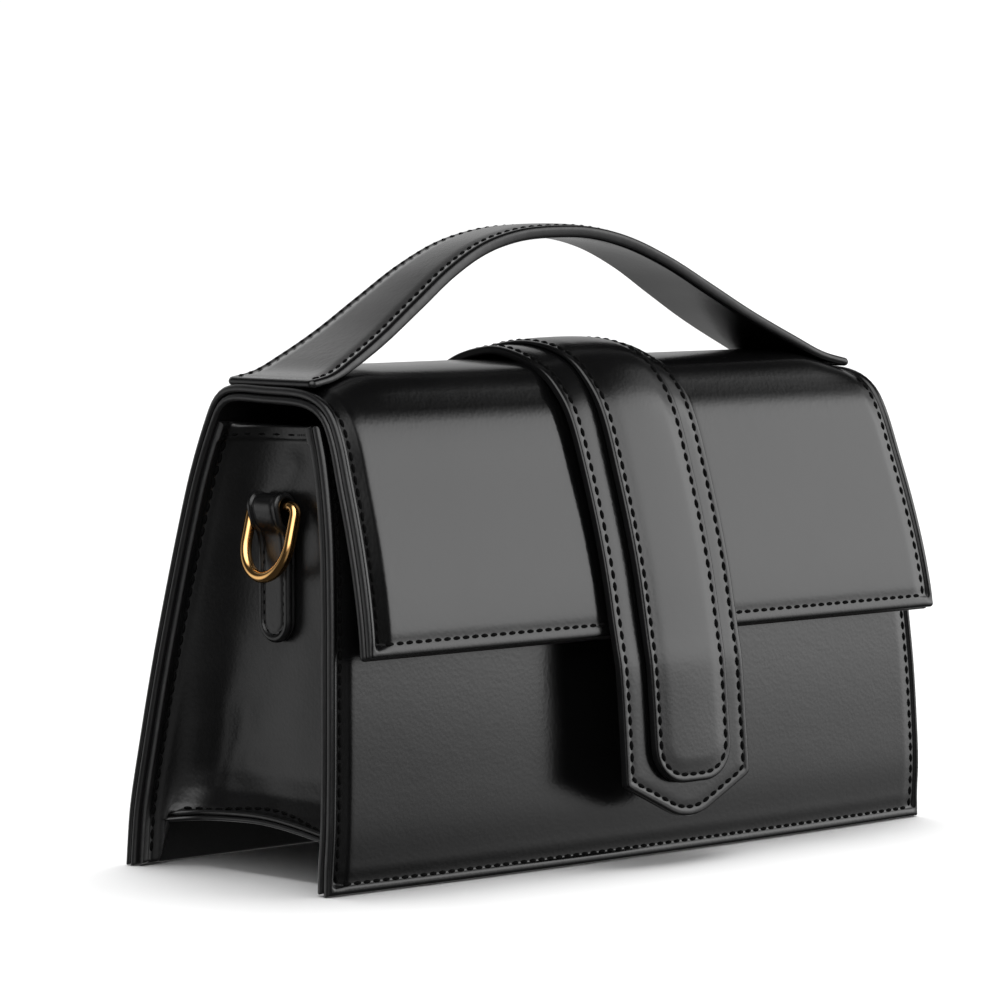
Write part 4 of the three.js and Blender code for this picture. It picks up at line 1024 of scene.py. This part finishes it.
# the big soft light on the right in front: radiance over height, a little slanted, and a width
KEY = ((-0.45, 0.08), (-0.245, 0.60), (-0.16, 0.82), (-0.10, 1.05), (-0.05, 1.40), (0.0, 1.95), (0.035, 2.45), (0.06, 2.8), (0.10, 3.1),
       (0.16, 3.25), (0.25, 3.25), (0.40, 3.05), (0.52, 2.8), (0.62, 2.3), (0.67, 1.5), (0.72, 0.5), (0.77, 0.1), (0.83, 0.02), (0.90, 0.0))
KEY_AZIMUTH, KEY_SLANT, KEY_FULL, KEY_EDGE = math.radians(49), 0.3, math.radians(15), math.radians(30)
tilt = node(nt, "ShaderNodeVectorMath", operation="DOT_PRODUCT")
tilt.inputs[1].default_value = (KEY_SLANT * math.cos(KEY_AZIMUTH) / 2, KEY_SLANT * math.sin(KEY_AZIMUTH) / 2, 0.5)
link(co.outputs["Generated"], tilt.inputs[0])
half_up = node(nt, "ShaderNodeMath", operation="ADD")
half_up.inputs[1].default_value = 0.5
link(tilt.outputs["Value"], half_up.inputs[0])
profile = node(nt, "ShaderNodeValToRGB")
while len(profile.color_ramp.elements) < len(KEY):
    profile.color_ramp.elements.new(0.5)
for e, (h, v) in zip(profile.color_ramp.elements, KEY):
    e.position = (h + 1) / 2
    e.color = (v / 4, v / 4, v / 4, 1)
link(half_up.outputs[0], profile.inputs[0])
flat_part = node(nt, "ShaderNodeVectorMath", operation="MULTIPLY")
flat_part.inputs[1].default_value = (1, 1, 0)
link(co.outputs["Generated"], flat_part.inputs[0])
unit = node(nt, "ShaderNodeVectorMath", operation="NORMALIZE")
link(flat_part.outputs[0], unit.inputs[0])
turn_part = node(nt, "ShaderNodeVectorMath", operation="DOT_PRODUCT")
turn_part.inputs[1].default_value = (math.sin(KEY_AZIMUTH), -math.cos(KEY_AZIMUTH), 0)
link(unit.outputs[0], turn_part.inputs[0])
wide_part = node(nt, "ShaderNodeMapRange", interpolation_type="SMOOTHSTEP")
for k, v in (("From Min", math.cos(KEY_EDGE)), ("From Max", math.cos(KEY_FULL)), ("To Min", 0.0), ("To Max", 4.0)):
    wide_part.inputs[k].default_value = v
link(turn_part.outputs["Value"], wide_part.inputs["Value"])
key = node(nt, "ShaderNodeMath", operation="MULTIPLY")
link(profile.outputs[0], key.inputs[0])
link(wide_part.outputs[0], key.inputs[1])
total = key.outputs[0]
for args in (((0.62, 0.78, 0.06), 46, 10, 0.40, (-0.35, 0.05)),     # pale wall behind on the right
             ((0.45, 0.73, -0.50), 46, 12, 0.45, None),            # floor behind on the right
             ((-0.62, 0.77, -0.12), 28, 8, 0.88, (0.45, -0.10)),   # wall and floor behind on the left
             ((0.30, 0.75, 0.60), 40, 8, 0.33, None),              # high behind
             ((-0.45, -0.89, -0.10), 34, 6, 0.25, None),           # dim room in front
             ((-0.55, -0.45, 0.70), 46, 20, 2.8, None),            # soft light above on the left
             ((0.15, 0.97, 0.20), 34, 8, 0.7, None),              # straight behind
             ((0.85, -0.20, 0.45), 20, 8, 0.8, None)):             # dim patch far on the right
    add = node(nt, "ShaderNodeMath", operation="ADD")
    link(total, add.inputs[0])
    link(lobe(*args), add.inputs[1])
    total = add.outputs[0]
add = node(nt, "ShaderNodeMath", operation="ADD")
link(total, add.inputs[0])
add.inputs[1].default_value = 0.03
lit = node(nt, "ShaderNodeBackground")
lit.inputs["Color"].default_value = (1, 1, 1, 1)
link(add.outputs[0], lit.inputs["Strength"])
seen = node(nt, "ShaderNodeBackground")
seen.inputs["Color"].default_value = (1, 1, 1, 1)
seen.inputs["Strength"].default_value = 1.05
soft = node(nt, "ShaderNodeBackground")              # even light that fills the shadows
soft.inputs["Color"].default_value = (1, 1, 1, 1)
soft.inputs["Strength"].default_value = 0.10
path = node(nt, "ShaderNodeLightPath")
matt = node(nt, "ShaderNodeMixShader")
link(path.outputs["Is Diffuse Ray"], matt.inputs[0])
link(lit.outputs[0], matt.inputs[1])
link(soft.outputs[0], matt.inputs[2])
mix = node(nt, "ShaderNodeMixShader")
link(path.outputs["Is Camera Ray"], mix.inputs[0])
link(matt.outputs[0], mix.inputs[1])
link(seen.outputs[0], mix.inputs[2])
link(mix.outputs[0], node(nt, "ShaderNodeOutputWorld").inputs["Surface"])


sun = bpy.data.lights.new("sky_panel", "SUN")       # wide soft light from straight above
sun.energy = 3.5
sun.angle = math.radians(50)
above = bpy.data.objects.new("sky_panel", sun)
bpy.context.scene.collection.objects.link(above)
above.rotation_euler = (math.radians(-7), math.radians(10), 0)
above.visible_glossy = False

cam = bpy.data.cameras.new("camera")
cam.sensor_width = 36.0
cam.lens = 172.8
cam.clip_start, cam.clip_end = 0.05, 60.0
camera = bpy.data.objects.new("camera", cam)
bpy.context.scene.collection.objects.link(camera)
azimuth, elevation, roll = math.radians(-43.34), math.radians(3.86), math.radians(-0.15)
back = Vector((math.sin(azimuth) * math.cos(elevation), -math.cos(azimuth) * math.cos(elevation), math.sin(elevation)))
right = Vector((math.cos(azimuth), math.sin(azimuth), 0))
up = back.cross(right)
right2 = right * math.cos(roll) + up * math.sin(roll)
up2 = up * math.cos(roll) - right * math.sin(roll)
m = Matrix((right2, up2, back)).transposed().to_4x4()
m.translation = Vector((-980.374, -1024.570 + SHIFT, 196.820)) * MM
camera.matrix_world = m
bpy.context.scene.camera = camera
bpy.context.scene.view_settings.view_transform = "Standard"
bpy.context.scene.view_settings.look = "None"
